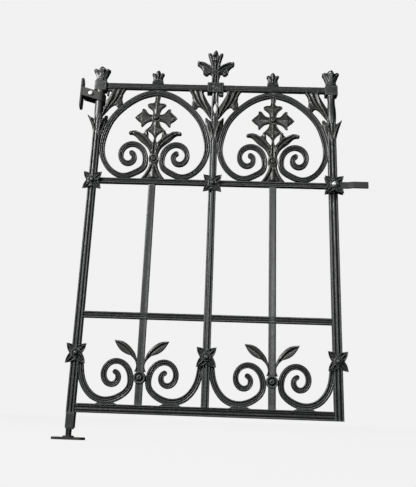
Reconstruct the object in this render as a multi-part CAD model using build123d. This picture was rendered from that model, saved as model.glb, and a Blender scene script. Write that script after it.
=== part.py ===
from build123d import *
from math import cos, radians, sin
import os

# A pedestrian garden gate of cast iron, with its wall bracket, foot plate and fall-bar latch.
# Millimetres. Z is up and is the hinge axis at X = 0, Y = 0. The origin is on the underside of
# the foot plate. +X runs from the hinge stile to the latch stile, and -Y is the moulded front.

# ---- driving dimensions -------------------------------------------------------------------
BAY = 206.0                 # pitch of the upright members
LEAF_X = 4 * BAY            # hinge stile centre to latch stile centre
CENTRE_X = 2 * BAY
PANEL_X = (BAY, 3 * BAY)    # centre lines of the two ornamental bays
PANEL_NAMES = ("left", "right")

STILE = 25.0                # the hinge stile is square
LATCH_STILE = 28.0          # the latch stile is wider, towards the middle of the leaf
CENTRE_STILE_FRONT, CENTRE_STILE_BACK = -11.0, 9.0
BAR_WIDTH = 23.5
BAR_FRONT, BAR_BACK = -8.0, 4.0
RAIL_FRONT, RAIL_BACK = -10.0, 6.0
SCROLL_FRONT, SCROLL_BACK = -9.0, 5.0
LEAF_FRONT, LEAF_BACK = -8.0, 3.0

BOTTOM_RAIL = (80.0, 108.0)   # underside and top of each rail
LOWER_RAIL = (373.0, 394.0)
LOCK_RAIL = (837.0, 856.0)
TOP_RAIL = (1201.0, 1222.0)

BLOCK_Z = (1190.0, 1228.0)  # corner blocks on the outer stiles
BLOCK_HALF = 22.0
BLOCK_DEPTH = 30.0
SPIGOT = 16.0
BUD_TIP_Z = 1292.0          # top of the bud over the hinge
LATCH_FINIAL_LIFT = 4.0     # the bud over the latch is this much taller
CROWN_TIP_Z = 1279.0        # top of the small crowns on the top rail
CROWN_SHIFT = -1.5           # the ornaments on the top rail stand a little towards the hinge
FINIAL_HALF_DEPTH = 8.0

COLLAR_Z = (1191.0, 1230.0)
COLLAR_HALF = 28.0
COLLAR_Y = (-16.0, 12.0)
COLLAR_WINDOW_HALF = 13.0
COLLAR_LIP = 6.0
COLLAR_PANEL_DEPTH = 2.0
SET_SCREW_X = CENTRE_X + 21
SET_SCREW_R = 6.0
SET_SCREW_HEAD = 15.0       # square head, across the flats
SET_SCREW_HEAD_HEIGHT = 10.0

SCROLL_WIDTH = 20.0
VOLUTE_SHRINK = 0.74        # radius left after each quarter turn
VOLUTE_STRETCH = 1.14       # height over width of a volute

ARCH_HUB_Z = 930.0
ARCH_HUB_R = 17.0
BASE_HUB_Z = 190.0
BASE_HUB_R = 19.5
HUB_PLATE = 3.5             # thickness of the hub's front plate
HUB_BOSS_RISE = 6.0
HUB_SHANK_R = 5.0
HUB_BACK = 3.0              # height of the rivet's head behind
CROSS_Z = 1089.0
CROSS_BOSS_R, CROSS_BOSS_RISE = 9.0, 5.0
SHEATH_RISE = 3.0           # how far a calyx stands proud of the stile, in front and behind

ROSETTE_HALF = 31.5
ROSETTE_WAIST = 20.5        # half width at the notch between two petals
ROSETTE_PETAL_EDGE = (28.0, 14.0)   # where a petal's edge passes, between the notch and the corner
ROSETTE_BOSS_R = 13.0
ROSETTE_BOSS_RISE = 1.5
ROSETTE_DOME_R, ROSETTE_DOME_RISE = 9.0, 6.0
ROSETTE_INSET = 2.0         # towards the middle of the leaf from the stile's centre line
ROSETTE_THICK = 5.0
UPPER_ROSETTE_Z = 843.0
LOWER_ROSETTE_Z = 259.0

JOURNAL_R = 16.0            # the hinge stile's round neck turns in the strap
JOURNAL_Z = (1100.0, 1190.0)
JOURNAL_CLEARANCE = 0.08
STRAP_THICK = 4.5
STRAP_HEIGHT = 33.0
STRAP_SLOPE = 0.30          # the strap's edges fall this much per unit towards the gate
STRAP_SWEPT_Z = (1134.0, 1190.0)
STRAP_BOLT_X = -31.0
STRAP_BOLT_Z = 1172.0
STRAP_BOLT_R = 5.0
STRAP_GAP = 1.2             # from the strap's loop to the leaf beside it
STRAP_END_GAP = 2.0         # from the wall plate to the ends of the strap's arms
STRAP_HEAD_R, STRAP_HEAD_THICK = 8.5, 5.5
STRAP_NUT_R, STRAP_NUT_THICK = 9.5, 8.0
STRAP_THREAD_OVER = 2.0
LUG_HEIGHT = 27.0
LUG_GAP = 3.0               # from the journal to the bracket's lug
WALL_PLATE_X = (-69.5, -64.0)
WALL_PLATE_WIDTH = 36.0
WALL_PLATE_Z = (1118.0, 1242.0)
WALL_HOLE_SPACING = 96.0
MOUNT_HOLE_R = 4.5

PIVOT_PIN_R = 9.0
PIVOT_CLEARANCE = 0.08
FOOT_LENGTH = 104.0
FOOT_WIDTH = 40.0
FOOT_THICK = 7.0
FOOT_BOSS_TOP = 11.0
FOOT_BOSS_R = 17.0
SOCKET_FLOOR = 3.0          # metal left under the pivot pin's socket
PIN_END_GAP = 0.3
PIN_TOP_Z = 55.0
SHOE_X = (-11.0, 15.5)      # the square shoe under the hinge stile sits a little inwards
SHOE_HALF_DEPTH = 13.0
SHOE_Z = 30.0
SHOE_CHAMFER = 3.5
FOOT_HOLE_SPACING = 76.0

LATCH_X = LEAF_X - ROSETTE_INSET
LATCH_Z = UPPER_ROSETTE_Z
LATCH_BAR_TIP = 935.0
LATCH_BAR_HEIGHT = 21.4
LATCH_BAR_THICK = 8.0
LATCH_BAR_FRONT = -27.0
LATCH_JOGGLE = 6.0
LATCH_BEND_X = (868.0, 884.0)
LATCH_PEG_R = 4.0
LATCH_PEG_REACH = 17.0      # from the pivot to the stop peg, along the bar
LATCH_PEG_GAP = 0.5
LATCH_EYE_R = 13.0
LATCH_CLEARANCE = 0.08
LATCH_HEAD_R, LATCH_HEAD_RISE = 8.5, 6.0
LATCH_NUT_R, LATCH_NUT_THICK = 11.0, 9.0
LATCH_THREAD_OVER = 4.0
LATCH_BOLT_R = 6.0
LATCH_COVER_BACK = -28.0

parts = {}


# ---- shape helpers ------------------------------------------------------------------------
def plate(face, front, back):
    """Extrude a face drawn in X and Z so that it fills Y from front to back."""
    plane = Plane(origin=(0, back, 0), x_dir=(1, 0, 0), z_dir=(0, -1, 0))
    return extrude(plane * face, amount=back - front)


def block(x, y, z):
    """A box between two limits on each axis."""
    size = (x[1] - x[0], y[1] - y[0], z[1] - z[0])
    centre = ((x[0] + x[1]) / 2, (y[0] + y[1]) / 2, (z[0] + z[1]) / 2)
    return Pos(*centre) * Box(*size)


def outline(*runs):
    """A face bounded by runs of points: two points make a line, more make a smooth curve.
    Each run starts where the one before it ends, and the last one closes on the first."""
    edges = []
    for number, run in enumerate(runs):
        last = runs[(number + 1) % len(runs)][0]
        points = [*run, last]
        edges.append(Line(*points) if len(points) == 2 else Spline(*points))
    return make_face(edges)


def mirrored(shape):
    return mirror(shape, about=Plane.YZ)


def rod(x, z, radius, front, back):
    """A cylinder along Y."""
    centre = Pos(x, (front + back) / 2, z)
    return centre * Rot(90, 0, 0) * Cylinder(radius, back - front)


def dome(x, z, radius, height, front):
    """A low spherical cap on the plane Y = front, standing out towards -Y."""
    ball = (radius**2 + height**2) / (2 * height)
    cap = Pos(x, front + ball - height, z) * Sphere(ball)
    return cap - block((x - 2 * ball, x + 2 * ball), (front, front + 3 * ball), (z - 2 * ball, z + 2 * ball))


def band(points, widths, samples=60):
    """A flat strip that follows a curve, with widths spread evenly along it and a round far end."""
    path = Spline(*points)
    left, right = [], []
    for number in range(samples + 1):
        at = number / samples
        place = at * (len(widths) - 1)
        low = min(int(place), len(widths) - 2)
        width = widths[low] + (widths[low + 1] - widths[low]) * (place - low)
        centre, along = path @ at, (path % at).normalized()
        across = Vector(-along.Y, along.X) * (width / 2)
        left.append(centre + across)
        right.append(centre - across)
    end, ahead = path @ 1, (path % 1).normalized()
    cap = ThreePointArc(left[-1], end + ahead * (widths[-1] / 2), right[-1])
    return make_face([Spline(*left), cap, Spline(*reversed(right)), Line(right[0], left[0])])


def volute(centre_x, centre_z, radius, first, last, step=0.25):
    """Points of a spiral that shrinks by the same ratio each quarter turn, counted in quarters."""
    points = []
    for number in range(int(round((last - first) / step)) + 1):
        quarter = first + number * step
        reach = radius * VOLUTE_SHRINK**quarter
        turn = radians(90 * quarter)
        points.append((centre_x - reach * cos(turn), centre_z + VOLUTE_STRETCH * reach * sin(turn)))
    return points


def solid_of(shape):
    """The largest solid of a shape: trims leave slivers that aren't wanted."""
    return max(shape.solids(), key=lambda solid: solid.volume)


# ---- frame of the leaf --------------------------------------------------------------------
LATCH_INNER_X = LEAF_X + STILE / 2 - LATCH_STILE


def outer_stile(x, width):
    """A stile between two limits in X that turns into a round neck, with a spigot for its corner block."""
    shaft = block(width, (-STILE / 2, STILE / 2), (BOTTOM_RAIL[0], JOURNAL_Z[0]))
    neck_height = JOURNAL_Z[1] - JOURNAL_Z[0]
    neck = Pos(x, 0, sum(JOURNAL_Z) / 2) * Cylinder(JOURNAL_R, neck_height)
    spigot = block((x - SPIGOT / 2, x + SPIGOT / 2), (-SPIGOT / 2, SPIGOT / 2), BLOCK_Z)
    return shaft + neck + spigot


def make_frame():
    parts["hinge_stile"] = outer_stile(0, (-STILE / 2, STILE / 2))
    parts["latch_stile"] = outer_stile(LEAF_X, (LATCH_INNER_X, LEAF_X + STILE / 2))

    inner = (STILE / 2, LATCH_INNER_X)
    rail_y = (RAIL_FRONT, RAIL_BACK)
    for name, z in (("bottom_rail", BOTTOM_RAIL), ("lower_rail", LOWER_RAIL), ("lock_rail", LOCK_RAIL)):
        parts[name] = block(inner, rail_y, z)
    parts["top_rail"] = block((BLOCK_HALF, LEAF_X - BLOCK_HALF), rail_y, TOP_RAIL)

    # The centre stile is halved over the lower rail, housed into the lock rail, and pierced
    # by a lens-shaped slot under the collar.
    depth = (CENTRE_STILE_FRONT, CENTRE_STILE_BACK)
    width = (CENTRE_X - STILE / 2, CENTRE_X + STILE / 2)
    stile = block(width, depth, (BOTTOM_RAIL[1], TOP_RAIL[0]))
    slot = outline([(CENTRE_X, 1108), (CENTRE_X + 6, 1132)], [(CENTRE_X, 1158), (CENTRE_X - 6, 1132)])
    stile -= plate(slot, -20, 20)
    parts["centre_stile"] = stile

    for x, name in zip(PANEL_X, PANEL_NAMES):
        width = (x - BAR_WIDTH / 2, x + BAR_WIDTH / 2)
        parts[f"{name}_bar"] = block(width, (BAR_FRONT, BAR_BACK), (BOTTOM_RAIL[1], LOCK_RAIL[0]))

    # Half-lap joints: the rail keeps its front half and the upright its back half.
    lap = (RAIL_FRONT + RAIL_BACK) / 2
    for upright in ("centre_stile", "left_bar", "right_bar"):
        spans = [LOWER_RAIL, LOCK_RAIL] if upright == "centre_stile" else [LOWER_RAIL]
        for z in spans:
            front = block((0, LEAF_X), (-30, lap), z)
            parts[upright] -= front
            rail = "lower_rail" if z is LOWER_RAIL else "lock_rail"
            parts[rail] -= parts[upright]


# ---- C-scrolls ----------------------------------------------------------------------------
def arch_scroll():
    """The right-hand scroll of a ring: from the crown, down the outside, under and into a volute."""
    side_x = BAY - STILE / 2 - SCROLL_WIDTH / 2
    outside = [(-4, 1190), (50, 1176), (92, 1151), (134, 1111), (157.5, 1077), (177, 1023), (side_x, 965)]
    under = [(162, 905), (138, 880), (101, LOCK_RAIL[1] + SCROLL_WIDTH / 2), (60, 880)]
    curl = volute(84.5, 939, 55, -0.35, 4.75)
    face = band([*outside, *under, *curl], (22, 20, 20, 20, 17.5, 19, 18.5, 17.5, 18))
    room = block((0, BAY - STILE / 2), (-30, 30), (LOCK_RAIL[1], TOP_RAIL[0]))
    return solid_of(plate(face, SCROLL_FRONT, SCROLL_BACK) & room)


def base_scroll():
    """The right-hand scroll at the foot of a bay, with the pad that it stands on."""
    outside = [(190.5, 243), (188.5, 225), (182, 188), (162, 149), (141, 130), (103, 119.5), (60, 132)]
    curl = volute(83, 193, 54, -0.3, 4.8)
    face = band([*outside, *curl], (20, 20, 21, 21, 18.5, 18.5, 17, 18, 16))
    strip = plate(face, SCROLL_FRONT, SCROLL_BACK)
    pad = outline([(66, BOTTOM_RAIL[1])], [(132, BOTTOM_RAIL[1])], [(118, 116)], [(84, 116)])
    room = block((0, BAY - STILE / 2), (-30, 30), (BOTTOM_RAIL[1], 300))
    return solid_of((strip + plate(pad, SCROLL_FRONT, SCROLL_BACK)) & room)


def make_scrolls():
    arch, base = arch_scroll(), base_scroll()
    for x, name in zip(PANEL_X, PANEL_NAMES):
        for side, shapes in (("outer", (mirrored(arch), mirrored(base))), ("inner", (arch, base))):
            # "outer" is the scroll away from the centre stile.
            if name == "right":
                side = {"outer": "inner", "inner": "outer"}[side]
            for kind, shape in zip(("arch", "base"), shapes):
                parts[f"{name}_{side}_{kind}_scroll"] = Pos(x, 0, 0) * shape - parts["latch_stile"]


# ---- ornaments of the two bays ------------------------------------------------------------
def cross():
    """Four flared petals round a boss, hung from the ring's crown by a short stem."""
    side = outline(
        [(0, 0)], [(12, -12), (28, -17)], [(46, -35), (51, -34), (52, -24), (60, -15)],
        [(75, 0), (60, 15), (52, 24)], [(51, 34), (46, 35), (28, 17)], [(12, 12)],
    )
    up = outline(
        [(0, 0)], [(12, 12), (16, 30)], [(33, 48), (33, 52), (24, 57), (10, 60)], [(7, 66)], [(7, 92)],
        [(-7, 92)], [(-7, 66), (-10, 60), (-24, 57)], [(-33, 52), (-33, 48), (-16, 30)], [(-12, 12)],
    )
    down = outline(
        [(0, 0)], [(-12, -12), (-18, -30)], [(-31, -45), (-22, -54), (-10, -65)], [(-4, -76)],
        [(4, -76), (10, -65), (22, -54)], [(31, -45), (18, -30)], [(12, -12)],
    )
    flat = up + down + side + mirrored(side)
    body = plate(Pos(0, CROSS_Z) * flat, LEAF_FRONT, LEAF_BACK)
    return body + dome(0, CROSS_Z, CROSS_BOSS_R, CROSS_BOSS_RISE, LEAF_FRONT)


def leaf_spray():
    """A flared foot on the lock rail, a neck behind the hub, and two leaves with curled tips."""
    foot = outline(
        [(-42, LOCK_RAIL[1])], [(42, LOCK_RAIL[1]), (30, 872), (18, 896)], [(14, 913), (17, 930), (14, 950)],
        [(9, 990), (5, 1000)], [(4, 1013)], [(-4, 1013)], [(-5, 1000), (-9, 990)],
        [(-14, 950), (-17, 930), (-14, 913)], [(-18, 896), (-30, 872)],
    )
    leaf = outline(
        [(5, 940)], [(14, 950), (23, 971), (39, 988), (53, 999), (65, 1012), (80, 1022)],
        [(88, 1022), (93, 1027), (87, 1035)], [(76, 1038), (60, 1036), (44, 1028)],
        [(38, 1031), (34, 1040)], [(30, 1043), (24, 1030), (23, 1015)], [(12, 998)], [(5, 990)],
    )
    flat = foot + leaf + mirrored(leaf)
    return plate(flat, LEAF_FRONT, LEAF_BACK)


def leaf_pair():
    """Two pointed leaves on stalks that rise from the lower hub on each side of the bar."""
    leaf = outline(
        [(BAR_WIDTH / 2, 208)], [(18, 208), (13, 225), (20, 245)], [(33, 258), (55, 266), (72, 280)],
        [(87, 305), (61, 302), (38, 288)], [(20, 267), (13, 249)], [(BAR_WIDTH / 2, 238)],
    )
    return plate(leaf, LEAF_FRONT, LEAF_BACK)


def hub(z, radius):
    """A rivet with a domed, stepped head in front and a plain head behind, clamping both scrolls."""
    front = rod(0, z, radius, SCROLL_FRONT - HUB_PLATE, SCROLL_FRONT)
    boss = dome(0, z, radius * 0.62, HUB_BOSS_RISE, SCROLL_FRONT - HUB_PLATE)
    shank = rod(0, z, HUB_SHANK_R, SCROLL_FRONT, SCROLL_BACK)
    back = rod(0, z, radius * 0.8, SCROLL_BACK, SCROLL_BACK + HUB_BACK)
    return front + boss + shank + back


def make_ornaments():
    for x, name in zip(PANEL_X, PANEL_NAMES):
        here = Pos(x, 0, 0)
        scrolls = [parts[f"{name}_{side}_arch_scroll"] for side in ("outer", "inner")]
        base = [parts[f"{name}_{side}_base_scroll"] for side in ("outer", "inner")]

        upper_hub = here * hub(ARCH_HUB_Z, ARCH_HUB_R)
        lower_hub = here * hub(BASE_HUB_Z, BASE_HUB_R)
        the_cross = here * cross()
        spray = here * leaf_spray()
        for scroll in scrolls:
            the_cross -= scroll
            spray -= scroll
        spray -= upper_hub
        spray -= the_cross
        pair = here * leaf_pair()
        other = here * mirrored(leaf_pair())
        for scroll in base:
            pair -= scroll
            other -= scroll
        parts[f"{name}_bar"] -= lower_hub
        parts[f"{name}_upper_hub"] = upper_hub
        parts[f"{name}_lower_hub"] = lower_hub
        parts[f"{name}_cross"] = solid_of(the_cross)
        parts[f"{name}_leaf_spray"] = solid_of(spray)
        parts[f"{name}_leaf_pair"] = Compound(children=[solid_of(pair), solid_of(other)])


# ---- ornaments round the stiles -----------------------------------------------------------
def sprig(*top_corner):
    """A ribbed leaf that springs from a stile at X = 0 and spreads under the top rail."""
    rail = TOP_RAIL[0]
    leaf = outline(
        [(STILE / 2, 1088), (30, 1112), (45, 1130), (58, 1136)], [(64, 1128), (76, 1128), (83, 1142)],
        [(80, 1160), (83, 1182)], [(94, rail)], *top_corner, [(42, 1190), (27, 1160)],
        [(STILE / 2, 1135)],
    )
    return plate(leaf, LEAF_FRONT, LEAF_BACK)


def sheath(left, right):
    """A calyx round a stile, open at the top into pointed leaves. left and right are the outer edges
    of its leaves, from the bottom up to the tip."""
    half = STILE / 2
    down_left = [(-x, z) for x, z in reversed(left)]
    mouth = ([(half + 2, 1082)], [(0, 1106)], [(-half - 2, 1082)])
    leaf = outline([down_left[-1]], right[:-1], [right[-1]], *mouth, down_left[:-1])
    return plate(leaf, -half - SHEATH_RISE, half + SHEATH_RISE)


def make_stile_ornaments():
    arch = {key: shape for key, shape in parts.items() if key.endswith("arch_scroll")}
    outer_left, inner_left = arch["left_outer_arch_scroll"], arch["left_inner_arch_scroll"]
    inner_right, outer_right = arch["right_inner_arch_scroll"], arch["right_outer_arch_scroll"]

    hinge, centre, latch = parts["hinge_stile"], parts["centre_stile"], parts["latch_stile"]
    towards_scroll = [(13.5, 1002), (22.5, 1035), (31, 1064), (33, 1093)]
    at_hinge, at_latch = [(13.5, 1028), (20, 1052), (39, 1094)], [(13.5, 1022), (21, 1050), (36, 1095)]
    parts["hinge_stile_sheath"] = sheath(at_hinge, towards_scroll) - hinge - outer_left
    parts["latch_stile_sheath"] = Pos(LEAF_X, 0, 0) * sheath(towards_scroll, at_latch) - latch - outer_right
    both_sides = sheath(towards_scroll, towards_scroll)
    parts["centre_stile_sheath"] = Pos(CENTRE_X, 0, 0) * both_sides - centre - inner_left - inner_right

    # The leaf at the hinge keeps clear of the strap, whose loop turns round the journal. It has a
    # small lobe that hangs beside the corner block.
    swept_r = JOURNAL_R + JOURNAL_CLEARANCE + STRAP_THICK + STRAP_GAP
    swept = Pos(0, 0, sum(STRAP_SWEPT_Z) / 2) * Cylinder(swept_r, STRAP_SWEPT_Z[1] - STRAP_SWEPT_Z[0])
    rail = TOP_RAIL[0]
    right_leaf = sprig([(40, rail)])
    left_leaf = mirrored(right_leaf)
    with_lobe = sprig([(24, rail)], [(24, 1174)], [(31, 1172)], [(32, 1192)])
    hinge_leaf = with_lobe - hinge - outer_left - parts["hinge_stile_sheath"] - swept
    latch_leaf = Pos(LEAF_X, 0, 0) * left_leaf - latch - outer_right - parts["latch_stile_sheath"]
    near = Pos(CENTRE_X, 0, 0) * left_leaf - centre - inner_left - parts["centre_stile_sheath"]
    far = Pos(CENTRE_X, 0, 0) * right_leaf - centre - inner_right - parts["centre_stile_sheath"]
    parts["hinge_corner_sprig"] = solid_of(hinge_leaf)
    parts["latch_corner_sprig"] = solid_of(latch_leaf)
    parts["centre_sprigs"] = Compound(children=[solid_of(near), solid_of(far)])
    for key in ("hinge_stile_sheath", "latch_stile_sheath", "centre_stile_sheath"):
        parts[key] = solid_of(parts[key])


# ---- top ornaments ------------------------------------------------------------------------
def crown(waist, spread, base_z, waist_z, side_z, tip_z):
    """Runs of a three-pointed bud on a flared base, seen from the front."""
    notch = (spread * 0.42, side_z - 4)
    right = [(waist, waist_z), (spread * 0.82, (waist_z + side_z) / 2)]
    top_right = [(spread, side_z - 6), (spread * 0.8, side_z)]
    return outline(
        [(-waist * 1.25, base_z)], [(waist * 1.25, base_z)], right, top_right,
        [notch, (spread * 0.25, side_z + 6)],
        [(0, tip_z), (-spread * 0.25, side_z + 6)], [(-notch[0], notch[1])],
        [(-spread * 0.8, side_z), (-spread, side_z - 6)], [(-spread * 0.82, (waist_z + side_z) / 2)],
        [(-waist, waist_z)],
    )


def corner_finial(lift):
    """A corner block that caps the stile, with a bud of four petals round a point above it."""
    base = block((-BLOCK_HALF, BLOCK_HALF), (-BLOCK_DEPTH / 2, BLOCK_DEPTH / 2), BLOCK_Z)
    tip_z = BUD_TIP_Z + lift
    wide = plate(crown(17, 31, BLOCK_Z[1], 1242, 1280 + lift, tip_z), -10, 10)
    deep = Rot(0, 0, 90) * plate(crown(12, 19, BLOCK_Z[1], 1242, 1278 + lift, tip_z), -11, 11)
    return base + wide + deep


def crown_finial():
    """A flat three-pointed crown that stands on the top rail."""
    bud = crown(17.5, 22.5, TOP_RAIL[1], 1240, 1268, CROWN_TIP_Z)
    return plate(bud, SCROLL_FRONT, SCROLL_BACK)


def centre_finial():
    """A stem with two drooping side leaves and a tulip bud."""
    base = COLLAR_Z[1]
    stem = outline([(-14, base)], [(14, base)], [(13, 1262), (14, 1300)], [(-14, 1300), (-13, 1262)])
    leaf = outline(
        [(0, 1270)], [(13, 1264), (22, 1271)], [(36, 1265), (46, 1284)], [(52, 1296), (66, 1306)],
        [(66, 1316), (54, 1322), (30, 1312)], [(10, 1300)], [(0, 1300)],
    )
    bud = outline(
        [(-16, 1304)], [(15, 1304), (20, 1330)], [(27, 1352), (21, 1357), (11, 1346)], [(5, 1362)],
        [(-1, 1371)], [(-7, 1362)], [(-13, 1346), (-23, 1357)], [(-30, 1352), (-23, 1330)],
    )
    join = outline([(-14, 1298)], [(14, 1298)], [(15, 1306)], [(-16, 1306)])
    return plate(stem + leaf + mirrored(leaf) + bud + join, -FINIAL_HALF_DEPTH, FINIAL_HALF_DEPTH)


def make_top():
    for side, x, lift in (("hinge", 0, 0), ("latch", LEAF_X, LATCH_FINIAL_LIFT)):
        parts[f"{side}_corner_finial"] = Pos(x, 0, 0) * corner_finial(lift) - parts[f"{side}_stile"]
    for x, name in zip(PANEL_X, PANEL_NAMES):
        parts[f"{name}_crown_finial"] = Pos(x + CROWN_SHIFT, 0, 0) * crown_finial()

    # The collar is a sleeve round the top rail with a sunk panel in front. A set screw under it
    # grips the rail.
    span = (CENTRE_X - COLLAR_HALF, CENTRE_X + COLLAR_HALF)
    sleeve = block(span, COLLAR_Y, COLLAR_Z)
    panel_x = (CENTRE_X - COLLAR_WINDOW_HALF, CENTRE_X + COLLAR_WINDOW_HALF)
    panel_y = (COLLAR_Y[0], COLLAR_Y[0] + COLLAR_PANEL_DEPTH)
    window = block(panel_x, panel_y, (COLLAR_Z[0], COLLAR_Z[1] - COLLAR_LIP))
    middle_y = (RAIL_FRONT + RAIL_BACK) / 2
    thread = Pos(SET_SCREW_X, middle_y, COLLAR_Z[0]) * Cylinder(SET_SCREW_R, 2 * (TOP_RAIL[0] - COLLAR_Z[0]))
    head_x = (SET_SCREW_X - SET_SCREW_HEAD / 2, SET_SCREW_X + SET_SCREW_HEAD / 2)
    head_y = (middle_y - SET_SCREW_HEAD / 2, middle_y + SET_SCREW_HEAD / 2)
    screw = thread + block(head_x, head_y, (COLLAR_Z[0] - SET_SCREW_HEAD_HEIGHT, COLLAR_Z[0]))
    for key in ("centre_sprigs", "left_inner_arch_scroll", "right_inner_arch_scroll"):
        sleeve -= parts[key]
    sleeve -= window + parts["top_rail"] + parts["centre_stile"] + screw
    parts["collar"] = solid_of(sleeve)
    parts["collar_screw"] = solid_of(screw - parts["centre_sprigs"])
    parts["centre_finial"] = Pos(CENTRE_X + CROWN_SHIFT, 0, 0) * centre_finial()


# ---- rosettes -----------------------------------------------------------------------------
def rosette(front):
    """A square plate of four petals with a notch between each two, its back on the plane Y = front."""
    r, (edge, along) = ROSETTE_HALF, ROSETTE_PETAL_EDGE
    runs = []
    for quarter in range(4):
        for run in ([(r, -r), (edge, -along)], [(ROSETTE_WAIST, 0), (edge, along)]):
            for _ in range(quarter):
                run = [(-z, x) for x, z in run]
            runs.append(run)
    return plate(outline(*runs), front - ROSETTE_THICK, front)


def make_rosettes():
    front = -STILE / 2
    columns = (("hinge", ROSETTE_INSET), ("centre", CENTRE_X), ("latch", LATCH_X))
    for row, z in (("upper", UPPER_ROSETTE_Z), ("lower", LOWER_ROSETTE_Z)):
        for column, x in columns:
            shape = Pos(x, 0, z) * rosette(front)
            if not (row == "upper" and column == "latch"):
                boss_face = front - ROSETTE_THICK - ROSETTE_BOSS_RISE
                shape += rod(x, z, ROSETTE_BOSS_R, boss_face, front)
                shape += dome(x, z, ROSETTE_DOME_R, ROSETTE_DOME_RISE, boss_face)
            parts[f"{column}_{row}_rosette"] = shape


# ---- latch --------------------------------------------------------------------------------
def make_latch():
    front, back = LATCH_BAR_FRONT, LATCH_BAR_FRONT + LATCH_BAR_THICK
    low, high = LATCH_Z - LATCH_BAR_HEIGHT / 2, LATCH_Z + LATCH_BAR_HEIGHT / 2
    bend = LATCH_BEND_X
    plan = Polyline(
        (LATCH_X, front), (bend[0], front), (bend[1], front - LATCH_JOGGLE),
        (LATCH_BAR_TIP, front - LATCH_JOGGLE), (LATCH_BAR_TIP, back - LATCH_JOGGLE),
        (bend[1], back - LATCH_JOGGLE), (bend[0], back), (LATCH_X, back),
        close=True,
    )
    bar = Pos(0, 0, low) * extrude(make_face(plan), amount=high - low)
    bar += rod(LATCH_X, LATCH_Z, LATCH_EYE_R, front, back)
    bar -= rod(LATCH_X, LATCH_Z, LATCH_BOLT_R + LATCH_CLEARANCE, front - 1, back + 1)
    parts["latch_bar"] = bar

    # The front rosette covers the bar. A peg on its back stops the bar when it is level.
    head_back = LATCH_COVER_BACK - ROSETTE_THICK - ROSETTE_BOSS_RISE
    cover = Pos(LATCH_X, 0, LATCH_Z) * rosette(LATCH_COVER_BACK)
    cover += rod(LATCH_X, LATCH_Z, ROSETTE_BOSS_R, head_back, LATCH_COVER_BACK)
    peg_z = low - LATCH_PEG_GAP - LATCH_PEG_R
    rosette_face = -STILE / 2 - ROSETTE_THICK
    cover += rod(LATCH_X + LATCH_PEG_REACH, peg_z, LATCH_PEG_R, LATCH_COVER_BACK, rosette_face)
    bolt = rod(LATCH_X, LATCH_Z, LATCH_BOLT_R, head_back, STILE / 2 + LATCH_NUT_THICK + LATCH_THREAD_OVER)
    bolt += dome(LATCH_X, LATCH_Z, LATCH_HEAD_R, LATCH_HEAD_RISE, head_back)
    parts["latch_cover_rosette"] = cover - bolt
    parts["latch_bolt"] = bolt
    plane = Plane(origin=(LATCH_X, STILE / 2, LATCH_Z), x_dir=(1, 0, 0), z_dir=(0, 1, 0))
    parts["latch_nut"] = extrude(plane * RegularPolygon(LATCH_NUT_R, 6), amount=LATCH_NUT_THICK) - bolt
    for key in ("latch_upper_rosette", "latch_stile", "lock_rail"):
        parts[key] -= bolt


# ---- hinges -------------------------------------------------------------------------------
def make_top_hinge():
    inner = JOURNAL_R + JOURNAL_CLEARANCE
    outer = inner + STRAP_THICK
    end_x = WALL_PLATE_X[1] + STRAP_END_GAP

    def sloping(height):
        """A tall slab between two parallel slopes, centred on the bolt."""
        low_x, high_x = -90, 60
        at_low, at_high = (STRAP_BOLT_Z - STRAP_SLOPE * (x - STRAP_BOLT_X) for x in (low_x, high_x))
        half = height / 2
        return plate(outline(
            [(low_x, at_low - half)], [(high_x, at_high - half)],
            [(high_x, at_high + half)], [(low_x, at_low + half)],
        ), -40, 40)

    middle, tall = Pos(0, 0, sum(JOURNAL_Z) / 2), (1050, 1250)
    between = sloping(STRAP_HEIGHT)
    loop = middle * Cylinder(outer, 200) + block((end_x, 0), (-outer, outer), tall)
    bore = middle * Cylinder(inner, 220) + block((end_x - 1, 0), (-inner, inner), tall)
    bolt_hole = rod(STRAP_BOLT_X, STRAP_BOLT_Z, STRAP_BOLT_R, -60, 60)
    parts["hinge_strap"] = ((loop - bore) & between) - bolt_hole

    # The wall bracket is a round-ended plate with a lug that fills the space between the arms.
    length = WALL_PLATE_Z[1] - WALL_PLATE_Z[0]
    middle = sum(WALL_PLATE_Z) / 2
    wall_plane = Plane(origin=(WALL_PLATE_X[0], 0, middle), x_dir=(0, 1, 0), z_dir=(1, 0, 0))
    face = Rot(0, 0, 90) * SlotOverall(length, WALL_PLATE_WIDTH)
    for offset in (-WALL_HOLE_SPACING / 2, WALL_HOLE_SPACING / 2):
        face -= Pos(0, offset) * Circle(MOUNT_HOLE_R)
    wall = extrude(wall_plane * face, amount=WALL_PLATE_X[1] - WALL_PLATE_X[0])
    lug = block((WALL_PLATE_X[1], -JOURNAL_R - LUG_GAP), (-inner, inner), tall) & sloping(LUG_HEIGHT)
    parts["wall_bracket"] = wall + lug - bolt_hole

    head = Plane(origin=(STRAP_BOLT_X, -outer, STRAP_BOLT_Z), x_dir=(1, 0, 0), z_dir=(0, -1, 0))
    bolt = extrude(head * RegularPolygon(STRAP_HEAD_R, 6), amount=STRAP_HEAD_THICK)
    shank_end = outer + STRAP_NUT_THICK + STRAP_THREAD_OVER
    parts["strap_bolt"] = bolt + rod(STRAP_BOLT_X, STRAP_BOLT_Z, STRAP_BOLT_R, -outer, shank_end)
    seat = Plane(origin=(STRAP_BOLT_X, outer, STRAP_BOLT_Z), x_dir=(1, 0, 0), z_dir=(0, 1, 0))
    nut = extrude(seat * RegularPolygon(STRAP_NUT_R, 6), amount=STRAP_NUT_THICK)
    parts["strap_nut"] = nut - parts["strap_bolt"]


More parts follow.
